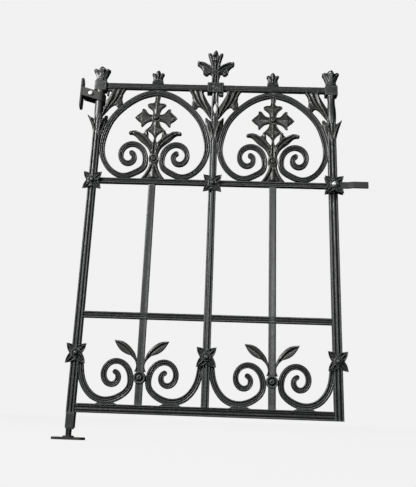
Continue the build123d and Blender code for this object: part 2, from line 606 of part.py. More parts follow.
def make_bottom_hinge():
    shoe = block(SHOE_X, (-SHOE_HALF_DEPTH, SHOE_HALF_DEPTH), (SHOE_Z, BOTTOM_RAIL[0]))
    shoe = chamfer(shoe.faces().sort_by(Axis.Z)[0].edges(), SHOE_CHAMFER)
    pin_z = (SOCKET_FLOOR + PIN_END_GAP, PIN_TOP_Z)
    pin = Pos(0, 0, sum(pin_z) / 2) * Cylinder(PIVOT_PIN_R, pin_z[1] - pin_z[0])
    parts["pivot_shoe"] = shoe - pin
    parts["pivot_pin"] = pin

    plan = SlotOverall(FOOT_LENGTH, FOOT_WIDTH)
    for offset in (-FOOT_HOLE_SPACING / 2, FOOT_HOLE_SPACING / 2):
        plan -= Pos(offset, 0) * Circle(MOUNT_HOLE_R)
    foot = extrude(plan, amount=FOOT_THICK)
    foot += Pos(0, 0, FOOT_BOSS_TOP / 2) * Cylinder(FOOT_BOSS_R, FOOT_BOSS_TOP)
    socket_height = FOOT_BOSS_TOP - SOCKET_FLOOR
    socket = Cylinder(PIVOT_PIN_R + PIVOT_CLEARANCE, socket_height)
    parts["foot_plate"] = foot - Pos(0, 0, SOCKET_FLOOR + socket_height / 2) * socket


make_frame()
make_scrolls()
make_ornaments()
make_stile_ornaments()
make_top()
make_rosettes()
make_latch()
make_top_hinge()
make_bottom_hinge()

os.makedirs("parts", exist_ok=True)
for name, shape in parts.items():
    export_step(shape, f"parts/{name}.step")
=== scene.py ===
import math

import bmesh
import bpy
import numpy as np
from mathutils import Matrix, Vector, noise
from mathutils.geometry import delaunay_2d_cdt


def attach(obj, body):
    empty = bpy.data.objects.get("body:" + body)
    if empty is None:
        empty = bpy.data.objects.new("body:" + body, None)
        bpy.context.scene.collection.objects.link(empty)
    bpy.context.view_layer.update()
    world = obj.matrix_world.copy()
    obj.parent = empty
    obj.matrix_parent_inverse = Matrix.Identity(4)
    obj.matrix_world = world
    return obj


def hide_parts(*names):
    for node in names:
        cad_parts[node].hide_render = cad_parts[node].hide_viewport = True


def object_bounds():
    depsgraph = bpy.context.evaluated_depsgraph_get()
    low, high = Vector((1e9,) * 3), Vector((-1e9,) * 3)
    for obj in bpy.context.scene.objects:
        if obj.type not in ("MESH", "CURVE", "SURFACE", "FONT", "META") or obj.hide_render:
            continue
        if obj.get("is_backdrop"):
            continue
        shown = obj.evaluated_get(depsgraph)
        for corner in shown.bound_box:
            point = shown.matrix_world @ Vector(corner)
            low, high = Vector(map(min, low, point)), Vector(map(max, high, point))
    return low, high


# The garden gate's looks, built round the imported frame. Lengths are millimetres until a mesh is
# made, in the CAD's own axes: Z is up and is the hinge axis, and -Y is the moulded front.
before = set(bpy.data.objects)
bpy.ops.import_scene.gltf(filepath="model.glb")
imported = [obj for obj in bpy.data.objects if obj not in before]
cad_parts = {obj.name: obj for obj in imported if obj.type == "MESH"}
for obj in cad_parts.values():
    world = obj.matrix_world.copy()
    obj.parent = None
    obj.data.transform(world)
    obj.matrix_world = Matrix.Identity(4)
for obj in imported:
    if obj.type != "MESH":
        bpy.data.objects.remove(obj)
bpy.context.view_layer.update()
MM = 0.001

# ---- dimensions repeated from the CAD source ----
BAY = 206.0
LEAF_X = 4 * BAY
CENTRE_X = 2 * BAY
PANELS = (("left", BAY), ("right", 3 * BAY))
STILE = 25.0
HALF = STILE / 2
LATCH_STILE = 28.0
BAR_WIDTH = 23.5
BOTTOM_RAIL = (80.0, 108.0)
LOWER_RAIL = (373.0, 394.0)
LOCK_RAIL = (837.0, 856.0)
TOP_RAIL = (1201.0, 1222.0)
VOLUTE_SHRINK, VOLUTE_STRETCH = 0.74, 1.14
CROSS_Z = 1089.0
ARCH_HUB_Z, BASE_HUB_Z = 930.0, 190.0
ARCH_HUB_R, BASE_HUB_R = 17.0, 19.5
UPPER_ROSETTE_Z, LOWER_ROSETTE_Z = 843.0, 259.0
ROSETTE_HALF, ROSETTE_WAIST, ROSETTE_INSET = 31.5, 20.5, 2.0
LATCH_X = LEAF_X - ROSETTE_INSET
BLOCK_Z = (1190.0, 1228.0)
LATCH_FINIAL_LIFT = 4.0
CROWN_SHIFT = -1.5
COLLAR_Z = (1191.0, 1230.0)
SET_SCREW_X = CENTRE_X + 21
STRAP_REACH = 16.08 + 4.5
STRAP_BOLT = (-31.0, 1172.0)

# ---- fineness, and the modelling of a casting's face ----
# Steps are distances between points.
CURVE_STEP, RIDGE_STEP, SCROLL_STEP, STRAIGHT_STEP, PRISM_STEP = 1.8, 2.5, 4.0, 9.0, 6
VOLUTE_STEP = 0.25  # of a quarter turn
CORNER_STEPS, END_STEPS = 4, 14
MESH, COARSE_MESH = 1.9, 2.6
EDGE_RINGS = (0.5, 1.5)  # rings of points this far in from each edge
RING_SHARE = 0.93  # a ring's point stays if no edge is nearer than this share of its distance
ROW_SHARE = 0.866  # height of an equal-sided triangle
GRID_GAP = 0.45  # how far inside the last ring the grid stays, as a share of the mesh
RIDGE_FADE = 1.4  # a ridge reaches its full height this far in from the edge
BACK_SHARE = 0.5  # how much of the front's modelling the back has
TURN_START, TURN_LENGTH = 0.86, 0.13  # where a bar's moulding evens out, in shares of its length


# ---- curves ----
def smooth(points, step=CURVE_STEP):
    """Evenly spaced points on the natural cubic spline through the given ones."""
    knots = np.array(points, float)
    at = np.concatenate([[0.0], np.cumsum(np.linalg.norm(np.diff(knots, axis=0), axis=1))])
    gaps, last = np.diff(at), len(knots) - 1
    system, target = np.eye(last + 1), np.zeros_like(knots)
    for i in range(1, last):
        system[i, i - 1 : i + 2] = gaps[i - 1], 2 * (gaps[i - 1] + gaps[i]), gaps[i]
        target[i] = 6 * ((knots[i + 1] - knots[i]) / gaps[i] - (knots[i] - knots[i - 1]) / gaps[i - 1])
    bend = np.linalg.solve(system, target)
    wanted = np.linspace(0, at[-1], max(2, round(at[-1] / step) + 1))
    k = np.clip(np.searchsorted(at, wanted, side="right") - 1, 0, last - 1)
    past, gap = (wanted - at[k])[:, None], gaps[k][:, None]
    ahead = gap - past
    curve = (bend[k] * ahead**3 + bend[k + 1] * past**3) / (6 * gap)
    start = knots[k] / gap - bend[k] * gap / 6
    end = knots[k + 1] / gap - bend[k + 1] * gap / 6
    return curve + start * ahead + end * past


def outline(*runs, step=CURVE_STEP):
    """A closed line from runs of points. Each run ends where the next one starts, and the last closes
    on the first. A point by itself starts a straight side."""
    runs = [run if isinstance(run, list) else [run] for run in runs]
    loop = []
    for number, run in enumerate(runs):
        last = runs[(number + 1) % len(runs)][0]
        loop.extend(smooth([*run, last], step)[:-1])
    loop = np.array(loop)
    x, z = loop.T
    anticlockwise = np.sum(x * np.roll(z, -1) - z * np.roll(x, -1)) > 0
    return loop if anticlockwise else loop[::-1]


def rectangle(half_width, low, high):
    """A closed line round a rectangle in X and Z, centred on X = 0."""
    return outline((-half_width, low), (half_width, low), (half_width, high), (-half_width, high))


def volute(centre_x, centre_z, radius, first, last):
    """Points of a spiral that shrinks by the same ratio each quarter turn, counted in quarters."""
    points = []
    for number in range(round((last - first) / VOLUTE_STEP) + 1):
        quarter = first + number * VOLUTE_STEP
        reach = radius * VOLUTE_SHRINK**quarter
        turn = math.radians(90 * quarter)
        points.append((centre_x - reach * math.cos(turn), centre_z + VOLUTE_STRETCH * reach * math.sin(turn)))
    return points


def distance(points, line):
    """How far each point is from a line of straight pieces."""
    start, along = line[:-1], np.diff(line, axis=0)
    offset = points[:, None] - start[None]
    share = np.clip((offset * along).sum(2) / np.maximum((along * along).sum(1), 1e-9), 0, 1)
    return np.linalg.norm(offset - share[..., None] * along, axis=2).min(1)


def closed(loop):
    return np.vstack([loop, loop[:1]])


def inside(points, loop):
    x, z = points.T
    hit = np.zeros(len(points), bool)
    for (x0, z0), (x1, z1) in zip(loop, np.roll(loop, -1, 0)):
        crosses = (z0 > z) != (z1 > z)
        if crosses.any():
            hit ^= crosses & (x < (x1 - x0) * (z - z0) / (z1 - z0) + x0)
    return hit


def within(points, loop, holes):
    """Which points are inside the loop and in none of its holes."""
    found = inside(points, loop)
    for hole in holes:
        found &= ~inside(points, hole)
    return found


def unit(steps):
    return steps / np.maximum(np.linalg.norm(steps, axis=1), 1e-6)[:, None]


def inwards(loop):
    """Unit steps into an anticlockwise loop, one for each of its points."""
    along = np.roll(loop, -1, 0) - np.roll(loop, 1, 0)
    return unit(np.stack([-along[:, 1], along[:, 0]], 1))


# ---- shapes: a shape is (corner points, faces) ----
def joined(*shapes):
    points, faces, start = [], [], 0
    for corners, polygons in shapes:
        points.append(corners)
        faces.extend(tuple(i + start for i in f) for f in polygons)
        start += len(corners)
    return np.vstack(points), faces


def moved(shape, x=0.0, y=0.0, z=0.0):
    return shape[0] + np.array([x, y, z]), shape[1]


def mirrored(shape):
    return shape[0] * np.array([-1, 1, 1]), shape[1]


def both(shape):
    """The shape and its mirror image about X = 0."""
    return joined(shape, mirrored(shape))


def quarter_turned(shape):
    return shape[0][:, [1, 0, 2]] * np.array([-1, 1, 1]), shape[1]


def twins(*ridges):
    """Each ridge, followed by its mirror image about X = 0."""
    pairs = []
    for points, width, height in ridges:
        pairs += [(points, width, height), ([(-x, z) for x, z in points], width, height)]
    return pairs


def walls(rows, count):
    """The side faces of a tube made of rows of count corners each."""
    faces = []
    for row in range(rows - 1):
        a, b = row * count, (row + 1) * count
        faces += [(a + k, a + (k + 1) % count, b + (k + 1) % count, b + k) for k in range(count)]
    return faces


def lids(rows, count):
    """The two end faces of such a tube."""
    return [tuple(range(count)), tuple(range((rows - 1) * count, rows * count))]


def tube(points, count):
    rows = len(points) // count
    return np.array(points), walls(rows, count) + lids(rows, count)


def filled(loop, holes, mesh, depth):
    """Points and triangles that fill a loop in X and Z: the edges themselves, rings beside them and a
    grid. depth says how far points are from the nearest edge."""
    edges = [loop, *holes]
    extra = []
    for edge in edges:
        side = 1 if edge is loop else -1
        for reach in EDGE_RINGS:
            ring = edge + side * inwards(edge) * reach
            extra.append(ring[depth(ring) > RING_SHARE * reach])
    low, high = loop.min(0), loop.max(0)
    rows = np.arange(low[1] + mesh / 2, high[1], mesh * ROW_SHARE)
    columns = np.arange(low[0], high[0], mesh)
    grid = np.array([(x + (row % 2) * mesh / 2, z) for row, z in enumerate(rows) for x in columns])
    extra.append(grid[depth(grid) > EDGE_RINGS[-1] + mesh * GRID_GAP])
    extra = np.vstack(extra)
    points = np.vstack([*edges, extra[within(extra, loop, holes)]])
    sides = []
    for edge in edges:
        start = len(sides)
        sides += [(start + i, start + (i + 1) % len(edge)) for i in range(len(edge))]
    flat, _, triangles, *_ = delaunay_2d_cdt([Vector(p) for p in points], sides, [], 1, 1e-5)
    flat = np.array([tuple(p) for p in flat])
    centres = np.array([flat[list(t)].mean(0) for t in triangles])
    return flat, [tuple(t) for t, full in zip(triangles, within(centres, loop, holes)) if full]


def rim(triangles):
    """The sides that only one triangle has."""
    alone = {}
    for corners in triangles:
        for a, b in zip(corners, corners[1:] + corners[:1]):
            alone[(a, b)] = (b, a) not in alone
            if not alone[(a, b)]:
                alone[(b, a)] = False
    return [pair for pair, single in alone.items() if single]


def relief(loop, front, back, rise, ridges=(), holes=(), mesh=MESH, back_share=BACK_SHARE, swell=None):
    """A closed casting seen from the front. Its face stands out from Y = front by what rise says for
    the distance from the edge, and by ridges of (points, half width, height). Its back does so
    by back_share of it. The ridges grow from nothing over the stretch of Z that swell gives."""
    lines = [closed(edge) for edge in (loop, *holes)]

    def depth(points):
        return np.min([distance(points, line) for line in lines], axis=0)

    flat, triangles = filled(loop, holes, mesh, depth)
    away = depth(flat)
    height = np.interp(away, *zip(*rise))
    fade = np.clip(away / RIDGE_FADE, 0, 1)
    if swell:
        fade = fade * np.interp(flat[:, 1], swell, (0, 1))
    for points, width, tall in ridges:
        near = distance(flat, smooth(points, RIDGE_STEP)) / width
        height += tall * np.exp(-(near**2)) * fade
    count = len(flat)
    face = np.column_stack([flat[:, 0], front - height, flat[:, 1]])
    rear = np.column_stack([flat[:, 0], back + back_share * height, flat[:, 1]])
    faces = list(triangles)
    faces += [tuple(i + count for i in reversed(t)) for t in triangles]
    faces += [(b, a, a + count, b + count) for a, b in rim(triangles)]
    return np.vstack([face, rear]), faces


def section(front, back, mould):
    """A closed section for sweep, alike on both sides: mould gives (share of the way from the edge to
    the middle, height over the face)."""
    face = [(s - 1, front - h) for s, h in mould] + [(1 - s, front - h) for s, h in reversed(mould[:-1])]
    rear = [(1 - s, back + BACK_SHARE * h) for s, h in mould]
    rear += [(s - 1, back + BACK_SHARE * h) for s, h in reversed(mould[:-1])]
    return face + rear


def one_sided(front, back, mould, back_share=BACK_SHARE):
    """A closed section for sweep: mould gives (share of the width from the right of the path, height)."""
    face = [(2 * s - 1, front - h) for s, h in mould]
    rear = [(2 * s - 1, back + back_share * h) for s, h in reversed(mould)]
    return face + rear


def round_end(centre, along, across, reach, u, y):
    """Half a turn of a section about the end of its path. The section is alike on both sides, and its
    corners are at u times the reach to the side and at Y = y."""
    right = [i for i in range(len(u)) if u[i] >= 0]
    first = right.index(min(right, key=lambda i: (abs(u[i]), y[i])))
    order = right[first:] + right[:first]
    corners, patches, count = [], [], len(order)
    for step in range(END_STEPS + 1):
        angle = -math.pi * step / END_STEPS
        x, z = math.cos(angle) * across - math.sin(angle) * along
        corners += [(centre[0] + u[i] * reach * x, y[i], centre[1] + u[i] * reach * z) for i in order]
    for step in range(END_STEPS):
        a, b = step * count, (step + 1) * count
        patches += [(a + i, a + i + 1, b + i + 1, b + i) for i in range(count - 1)]
    return np.array(corners), patches


def sweep(path, widths, profile, end_profile=None):
    """A bar whose section is carried along a path in X and Z. With an end_profile, alike on both sides,
    the section turns into it and the bar has a round end."""
    path = np.array(path, float)
    along = unit(np.gradient(path, axis=0))
    across = np.stack([-along[:, 1], along[:, 0]], 1)
    wide = np.interp(np.linspace(0, 1, len(path)), np.linspace(0, 1, len(widths)), widths) / 2
    u, y = np.array(profile).T
    last_y = y if end_profile is None else np.array(end_profile)[:, 1]
    count, last = len(u), len(path) - 1
    points = []
    for number, centre in enumerate(path):
        place = centre + np.outer(u * wide[number], across[number])
        late = np.clip((number / last - TURN_START) / TURN_LENGTH, 0, 1)
        points.append(np.column_stack([place[:, 0], y + (last_y - y) * late, place[:, 1]]))
    start_lid, end_lid = lids(len(path), count)
    bar = np.vstack(points), [*walls(len(path), count), start_lid]
    if end_profile is None:
        return bar[0], [*bar[1], end_lid[::-1]]
    return joined(bar, round_end(path[-1], along[-1], across[-1], wide[-1], u, last_y))


def straight(start, end):
    """Points of a straight path, close enough together for the casting's unevenness."""
    count = max(2, round(math.dist(start, end) / STRAIGHT_STEP) + 1)
    return np.linspace(start, end, count)


def turned(profile, x=0.0, z=0.0, y=0.0, sides=40):
    """A boss turned about a line along Y. profile gives (radius, Y) from the back rim to the middle."""
    points = []
    for radius, deep in profile:
        for k in range(sides):
            angle = 2 * math.pi * k / sides
            points.append((x + radius * math.cos(angle), y + deep, z + radius * math.sin(angle)))
    return tube(points, sides)


def spun(profile, x=0.0, y=0.0, sides=40):
    """A post turned about a line along Z. profile gives (radius, Z) from the bottom up."""
    corners, faces = turned(profile, sides=sides)
    return np.column_stack([corners[:, 0] + x, corners[:, 2] + y, corners[:, 1]]), faces


def prism(plan, low, high, bevel=1.0):
    """A post with any plan in X and Y, and its ends bevelled."""
    plan = np.array(plan, float)
    rows = max(2, round((high - low) / PRISM_STEP))
    levels = [(low, bevel), (low + bevel, 0.0)]
    levels += [(z, 0.0) for z in np.linspace(low + bevel, high - bevel, rows)[1:]]
    levels.append((high, bevel))
    points = []
    for z, inset in levels:
        points += [(x, y, z) for x, y in plan + inwards(plan) * inset]
    bottom, top = lids(len(levels), len(plan))
    return np.array(points), [*walls(len(levels), len(plan)), bottom[::-1], top]


def rounded_plan(x, y, radius):
    """A rectangle in X and Y with round corners, as points."""
    corners = (
        (x[1] - radius, y[0] + radius, -90), (x[1] - radius, y[1] - radius, 0),
        (x[0] + radius, y[1] - radius, 90), (x[0] + radius, y[0] + radius, 180),
    )
    points = []
    for corner_x, corner_y, start in corners:
        for k in range(CORNER_STEPS + 1):
            angle = math.radians(start + 90 * k / CORNER_STEPS)
            points.append((corner_x + radius * math.cos(angle), corner_y + radius * math.sin(angle)))
    return points


def hexagon_head(x, z, seat, across, tall, towards=-1):
    """A bolt head or nut with six flats and a chamfered top, on the plane Y = seat."""
    sides, top_share, chamfer = 48, 0.93, math.tan(math.radians(30))
    top = across / 2 * top_share
    sixth = math.pi / 3
    angles = [2 * math.pi * k / sides for k in range(sides)]
    reaches = [across / 2 / math.cos((angle + sixth / 2) % sixth - sixth / 2) for angle in angles]
    levels = [
        [(reach, 0.0) for reach in reaches],
        [(reach, tall - (reach - top) * chamfer) for reach in reaches],
        [(top, tall)] * sides,
        [(top * 0.6, tall + 0.15)] * sides,
    ]
    points = []
    for level in levels:
        for angle, (reach, height) in zip(angles, level):
            points.append((x + reach * math.cos(angle), seat + towards * height, z + reach * math.sin(angle)))
    return tube(points, sides)


# ---- materials ----
class Tree:
    """A material and its nodes."""

    def __init__(self, name):
        self.material = bpy.data.materials.new(name)
        self.material.use_nodes = True
        self.nodes = self.material.node_tree.nodes
        self.links = self.material.node_tree.links
        self.shader = self.nodes["Principled BSDF"]
        self.place = self.nodes.new("ShaderNodeTexCoord").outputs["Object"]

    def feed(self, socket, value):
        if isinstance(value, bpy.types.NodeSocket):
            self.links.new(value, socket)
        else:
            socket.default_value = value

    def node(self, kind, **inputs):
        made = self.nodes.new(kind)
        for key, value in inputs.items():
            self.feed(made.inputs[key.replace("_", " ")], value)
        return made

    def noise(self, scale, detail=4.0, rough=0.55, stretch=None):
        place = self.place
        if stretch:
            place = self.node("ShaderNodeMapping", Vector=self.place, Scale=stretch).outputs[0]
        made = self.node("ShaderNodeTexNoise", Vector=place, Scale=scale, Detail=detail, Roughness=rough)
        return made.outputs[0]

    def ramp(self, factor, *stops):
        made = self.node("ShaderNodeValToRGB", Fac=factor)
        band = made.color_ramp
        while len(band.elements) < len(stops):
            band.elements.new(0.5)
        for element, (at, colour) in zip(band.elements, stops):
            element.position = at
            element.color = (*colour, 1) if len(colour) == 3 else colour
        return made.outputs[0]

    def grey(self, factor, *stops):
        return self.ramp(factor, *((at, (v, v, v)) for at, v in stops))

    def mix(self, factor, a, b, kind="MIX"):
        made = self.nodes.new("ShaderNodeMix")
        made.data_type = "RGBA"
        made.blend_type = kind
        for socket, value in ((0, factor), (6, a), (7, b)):
            self.feed(made.inputs[socket], value)
        return made.outputs[2]

    def bump(self, height, strength, deep, below=None):
        made = self.node("ShaderNodeBump", Height=height, Strength=strength, Distance=deep)
        if below is not None:
            self.links.new(below, made.inputs["Normal"])
        return made.outputs[0]

    def join(self, **sockets):
        for key, value in sockets.items():
            self.feed(self.shader.inputs[key.replace("_", " ")], value)
        return self.material


def painted_iron(name, dark, middle, light, edge):
    """Black satin paint, brushed thickly over rough cast iron. Its colour carries a painted highlight along
    convex edges, partly also rubbed paint, and painted shade in creases.
    """
    tree = Tree(name)
    mottle = tree.noise(38, 5, 0.6)
    grain = tree.noise(330, 6, 0.62)
    lumps = tree.noise(120, 3, 0.5)
    streaks = tree.noise(150, 3, 0.5, stretch=(1.0, 1.0, 0.12))
    pits = tree.node("ShaderNodeTexVoronoi", Vector=tree.place, Scale=210.0).outputs["Distance"]
    colour = tree.ramp(mottle, (0.32, dark), (0.52, middle), (0.72, light))
    colour = tree.mix(0.35, colour, tree.grey(streaks, (0.35, 0.012), (0.65, 0.09)), "SCREEN")
    curvature = tree.node("ShaderNodeNewGeometry").outputs["Pointiness"]
    # Painted highlight: convex edges are lightened towards the edge colour, partly as light catching them and
    # partly as rubbed paint.
    edge_highlight_and_wear = tree.grey(curvature, (0.508, 0.0), (0.57, 1.0))
    speckled_edge_highlight_and_wear = tree.mix(0.8, edge_highlight_and_wear, tree.grey(grain, (0.35, 0.15), (0.65, 1.0)), "MULTIPLY")
    colour = tree.mix(speckled_edge_highlight_and_wear, colour, (*edge, 1))
    # Painted shade: creases and hollows are darkened in the base colour, where shade would fall. The same
    # mask also makes them rougher.
    crease_shade_mask = tree.grey(curvature, (0.455, 0.0), (0.5, 1.0))
    colour = tree.mix(0.9, colour, tree.mix(crease_shade_mask, (0.12, 0.12, 0.12, 1), (1, 1, 1, 1)), "MULTIPLY")
    normal = tree.bump(lumps, 0.55, 0.0012)
    normal = tree.bump(tree.grey(pits, (0.08, 0.0), (0.32, 1.0)), 0.22, 0.0005, normal)
    normal = tree.bump(grain, 0.38, 0.0005, normal)
    rough = tree.mix(crease_shade_mask, (0.75, 0.75, 0.75, 1), tree.grey(grain, (0.3, 0.31), (0.7, 0.46)))
    return tree.join(Base_Color=colour, Roughness=rough, Normal=normal)


def black_steel(name):
    """Wrought or rolled steel under thin black paint that has rubbed thin."""
    tree = Tree(name)
    patches = tree.noise(55, 6, 0.65)
    fine = tree.noise(420, 4, 0.6)
    brushed = tree.noise(260, 3, 0.5, stretch=(0.15, 1.0, 1.0))
    colour = tree.ramp(
        patches, (0.35, (0.013, 0.013, 0.013)), (0.62, (0.026, 0.026, 0.025)), (0.8, (0.045, 0.043, 0.04)),
    )
    normal = tree.bump(patches, 0.25, 0.001)
    normal = tree.bump(brushed, 0.18, 0.0003, normal)
    normal = tree.bump(fine, 0.2, 0.0003, normal)
    rough = tree.grey(patches, (0.3, 0.36), (0.7, 0.58))
    return tree.join(Base_Color=colour, Roughness=rough, Normal=normal)


def weathered_bracket(name):
    """The wall bracket's thinner, greyer coat, with the metal showing through."""
    tree = Tree(name)
    patches = tree.noise(48, 6, 0.65)
    fine = tree.noise(380, 5, 0.62)
    colour = tree.ramp(
        patches, (0.3, (0.022, 0.022, 0.022)), (0.55, (0.036, 0.035, 0.034)), (0.8, (0.06, 0.057, 0.053)),
    )
    normal = tree.bump(patches, 0.35, 0.001)
    normal = tree.bump(fine, 0.35, 0.0004, normal)
    rough = tree.grey(fine, (0.3, 0.46), (0.7, 0.66))
    return tree.join(Base_Color=colour, Roughness=rough, Normal=normal)


def bright_zinc(name):
    """New zinc plate with its spangle and a little handling dirt."""
    tree = Tree(name)
    spangle = tree.node("ShaderNodeTexVoronoi", Vector=tree.place, Scale=700.0).outputs["Color"]
    dirt = tree.noise(160, 4, 0.6)
    shade = tree.mix(0.14, (0.92, 0.92, 0.9, 1), spangle)
    colour = tree.mix(tree.grey(dirt, (0.52, 0.0), (0.75, 0.45)), shade, (0.48, 0.46, 0.42, 1))
    normal = tree.bump(dirt, 0.12, 0.0003)
    rough = tree.grey(dirt, (0.3, 0.3), (0.7, 0.46))
    return tree.join(Base_Color=colour, Metallic=0.35, Roughness=rough, Normal=normal)


# edge is the colour of the painted highlight, partly rubbed paint, along convex edges.
IRON = painted_iron(
    "black_painted_iron", dark=(0.014, 0.016, 0.0155), middle=(0.023, 0.026, 0.025),
    light=(0.038, 0.042, 0.04), edge=(0.13, 0.14, 0.135),
)
LEAF_IRON = painted_iron(
    "black_painted_leafwork", dark=(0.014, 0.015, 0.014), middle=(0.025, 0.0255, 0.0235),
    light=(0.042, 0.041, 0.038), edge=(0.13, 0.13, 0.12),
)
STEEL = black_steel("black_steel_fittings")
BRACKET = weathered_bracket("weathered_bracket_iron")
ZINC = bright_zinc("bright_zinc_plate")


# ---- pieces ----
WELD, NO_LENGTH = 2e-5, 1e-6
COARSE_WAVE, FINE_WAVE, WAVE_SHIFT = 95, 230, Vector((3, 5, 7))
EASED_ABOVE = 40.0


UNEVEN, SHARP = 0.16, 38.0


def piece(
    name, shape, *nodes, material, body="gate_leaf", slot="black_cast_iron", uneven=UNEVEN, sharp=SHARP
):
    """Makes a shape into a piece that stands for some CAD nodes. uneven is the casting's own waviness."""
    corners, faces = shape
    data = bpy.data.meshes.new(name)
    data.from_pydata((corners * MM).tolist(), [], faces)
    work = bmesh.new()
    work.from_mesh(data)
    bmesh.ops.remove_doubles(work, verts=work.verts, dist=WELD)
    bmesh.ops.dissolve_degenerate(work, edges=work.edges, dist=NO_LENGTH)
    bmesh.ops.recalc_face_normals(work, faces=work.faces)
    work.normal_update()
    if uneven:
        for vertex in work.verts:
            fine = noise.noise(vertex.co * FINE_WAVE + WAVE_SHIFT)
            wave = noise.noise(vertex.co * COARSE_WAVE) + 0.5 * fine
            vertex.co += vertex.normal * (wave * uneven * MM)
    work.to_mesh(data)
    work.free()
    data.polygons.foreach_set("use_smooth", [True] * len(data.polygons))
    data.set_sharp_from_angle(angle=math.radians(sharp))
    data.materials.append(material)
    made = bpy.data.objects.new(name, data)
    bpy.context.scene.collection.objects.link(made)
    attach(made, body)
    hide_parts(*nodes)


def casting(node, shape, material=IRON, uneven=UNEVEN, name=None):
    """An iron piece, named after its CAD node unless name is given."""
    piece(f"{name or node}_casting", shape, node, material=material, uneven=uneven)


def fastener(node, shape, body="gate_leaf", sharp=SHARP):
    piece(f"{node}_zinc", shape, node, body=body, slot="zinc_fasteners", material=ZINC, uneven=0, sharp=sharp)


def keep(node, material, bevel):
    """Shows a CAD node as it is, with its edges eased and a material."""
    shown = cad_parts[node]
    shown.data.materials.clear()
    shown.data.materials.append(material)
    if bevel:
        eased = shown.modifiers.new("eased edges", "BEVEL")
        eased.width = bevel * MM
        eased.segments = 2
        eased.limit_method = "ANGLE"
        eased.angle_limit = math.radians(EASED_ABOVE)


# Heights over the face, by distance from the edge.
SOFT = ((0, 0), (0.4, 0.8), (1.2, 1.6), (2.5, 2.3), (5, 3), (9, 3.6))
PETAL = (
    (0, 0), (0.5, 1.1), (1.5, 2.1), (2.6, 1.5), (3.7, -0.7), (4.8, -0.4), (7, 1.1), (11, 1.9), (16, 2.4),
    (22, 2.6),
)
SUNK = ((0, 0), (0.5, 1.9), (2, 2.3), (3.2, 1.9), (4.4, 0.2), (8, 0.6), (14, 1.2))
FLAT = ((0, 0), (0.5, 0.7), (1.5, 1), (4, 1))
SHAFT = ((0, 0), (0.5, 0.8), (1.5, 1.4), (3, 1.6), (6, 1.9))
LEAF_BLADE = ((0, 0), (0.5, 0.9), (1.5, 1.6), (3, 1.9), (6, 2.1), (12, 2.4))
BUD = ((0, 0), (0.5, 0.9), (1.5, 1.8), (3, 2.6), (7, 3.6))
ROSETTE = ((0, 0), (0.5, 1), (1.5, 2.1), (2.5, 1.7), (3.6, -0.5), (5, -0.3), (7, 0.6), (11, 1.2))

# Mouldings, as (share of the way from the edge to the middle, height).
CONVEX = ((0, 0), (0.04, 0.9), (0.12, 1.6), (0.25, 2), (1, 2.3))
RAIL = (
    (0, 0), (0.05, 0.9), (0.16, 1.6), (0.34, 1.7), (0.46, 1), (0.52, -2.2), (0.72, -2.4), (0.8, -0.4),
    (0.9, -0.2), (1, -1),
)
REEDS = ((0, 0), (0.05, 1), (0.2, 1.7), (0.38, 1.2), (0.47, -0.6), (0.55, 0.6), (0.72, 1.7), (1, 2.2))
TOP_REEDS = (
    (0, 0), (0.05, 0.9), (0.17, 1.4), (0.3, 0.8), (0.38, -0.4), (0.48, 0.8), (0.62, 1.5), (0.76, 1),
    (0.86, 0), (1, 0.5),
)


# ---- frame of the leaf ----
STILE_MOULD = (
    (0, 0), (0.03, 0.9), (0.09, 1.6), (0.16, 1.3), (0.21, -1), (0.28, -1.8), (0.33, 0.2), (0.4, 1.6),
    (0.5, 2), (0.58, 1.5), (0.63, -0.2), (0.68, -2.1), (0.76, -2.1), (0.8, 0.2), (0.86, 1.4),
    (0.93, 1.2), (0.98, 0.6), (1, 0),
)
STILE_FACE = 10.8
NECK_Z = 1100
RAIL_BACK = 4.8
RAIL_END, BLOCK_INSET = HALF - 1.5, 21  # from an outer stile's centre line to a rail's end
stile_section = one_sided(-STILE_FACE, STILE_FACE, STILE_MOULD, 0.9)


def outer_stile(x, width, facing, neck):
    """A moulded stile, widened on its inner side, that turns into a round neck under its corner block."""
    shaft_section = [(facing * u, y) for u, y in stile_section]
    middle = x - (width - STILE) / 2
    shaft = sweep(straight((middle, BOTTOM_RAIL[0]), (middle, NECK_Z)), (width,), shaft_section)
    return joined(shaft, spun(neck, x))


hinge_neck = ((12.5, 1080), (15.2, 1094), (16, 1102), (16, 1120), (16, 1155), (16, 1189.6))
latch_neck = (
    (12.5, 1080), (15.2, 1094), (16, 1106), (16, 1122), (15.3, 1138), (13.6, 1152), (12.6, 1166),
    (13.2, 1178), (15.5, 1187), (16, 1189.8),
)
casting("hinge_stile", outer_stile(0, STILE, -1, hinge_neck))
casting("latch_stile", outer_stile(LEAF_X, LATCH_STILE, 1, latch_neck))

slot = outline([(CENTRE_X, 1108), (CENTRE_X + 6, 1132)], [(CENTRE_X, 1158), (CENTRE_X - 6, 1132)], step=1.5)
head = outline(
    (CENTRE_X - HALF, 1096), [(CENTRE_X + HALF, 1096), (CENTRE_X + HALF, 1130)], (CENTRE_X + 11, 1200),
    [(CENTRE_X - 11, 1200), (CENTRE_X - HALF, 1130)],
)
head_ridges = [([(CENTRE_X, 1164), (CENTRE_X, 1200)], 1.4, -2.2)]
for side in (-1, 1):
    bead = [(CENTRE_X + side * x, z) for x, z in ((9, 1100), (9.5, 1132), (6, 1180), (5.5, 1200))]
    head_ridges.append((bead, 1.8, 1.5))
centre_shaft = sweep(
    straight((CENTRE_X, BOTTOM_RAIL[1]), (CENTRE_X, NECK_Z - 1)), (STILE,), section(-9, 7, REEDS),
)
centre_head = relief(head, -8.6, 7, SHAFT, head_ridges, [slot], mesh=2)
casting("centre_stile", joined(centre_shaft, centre_head))

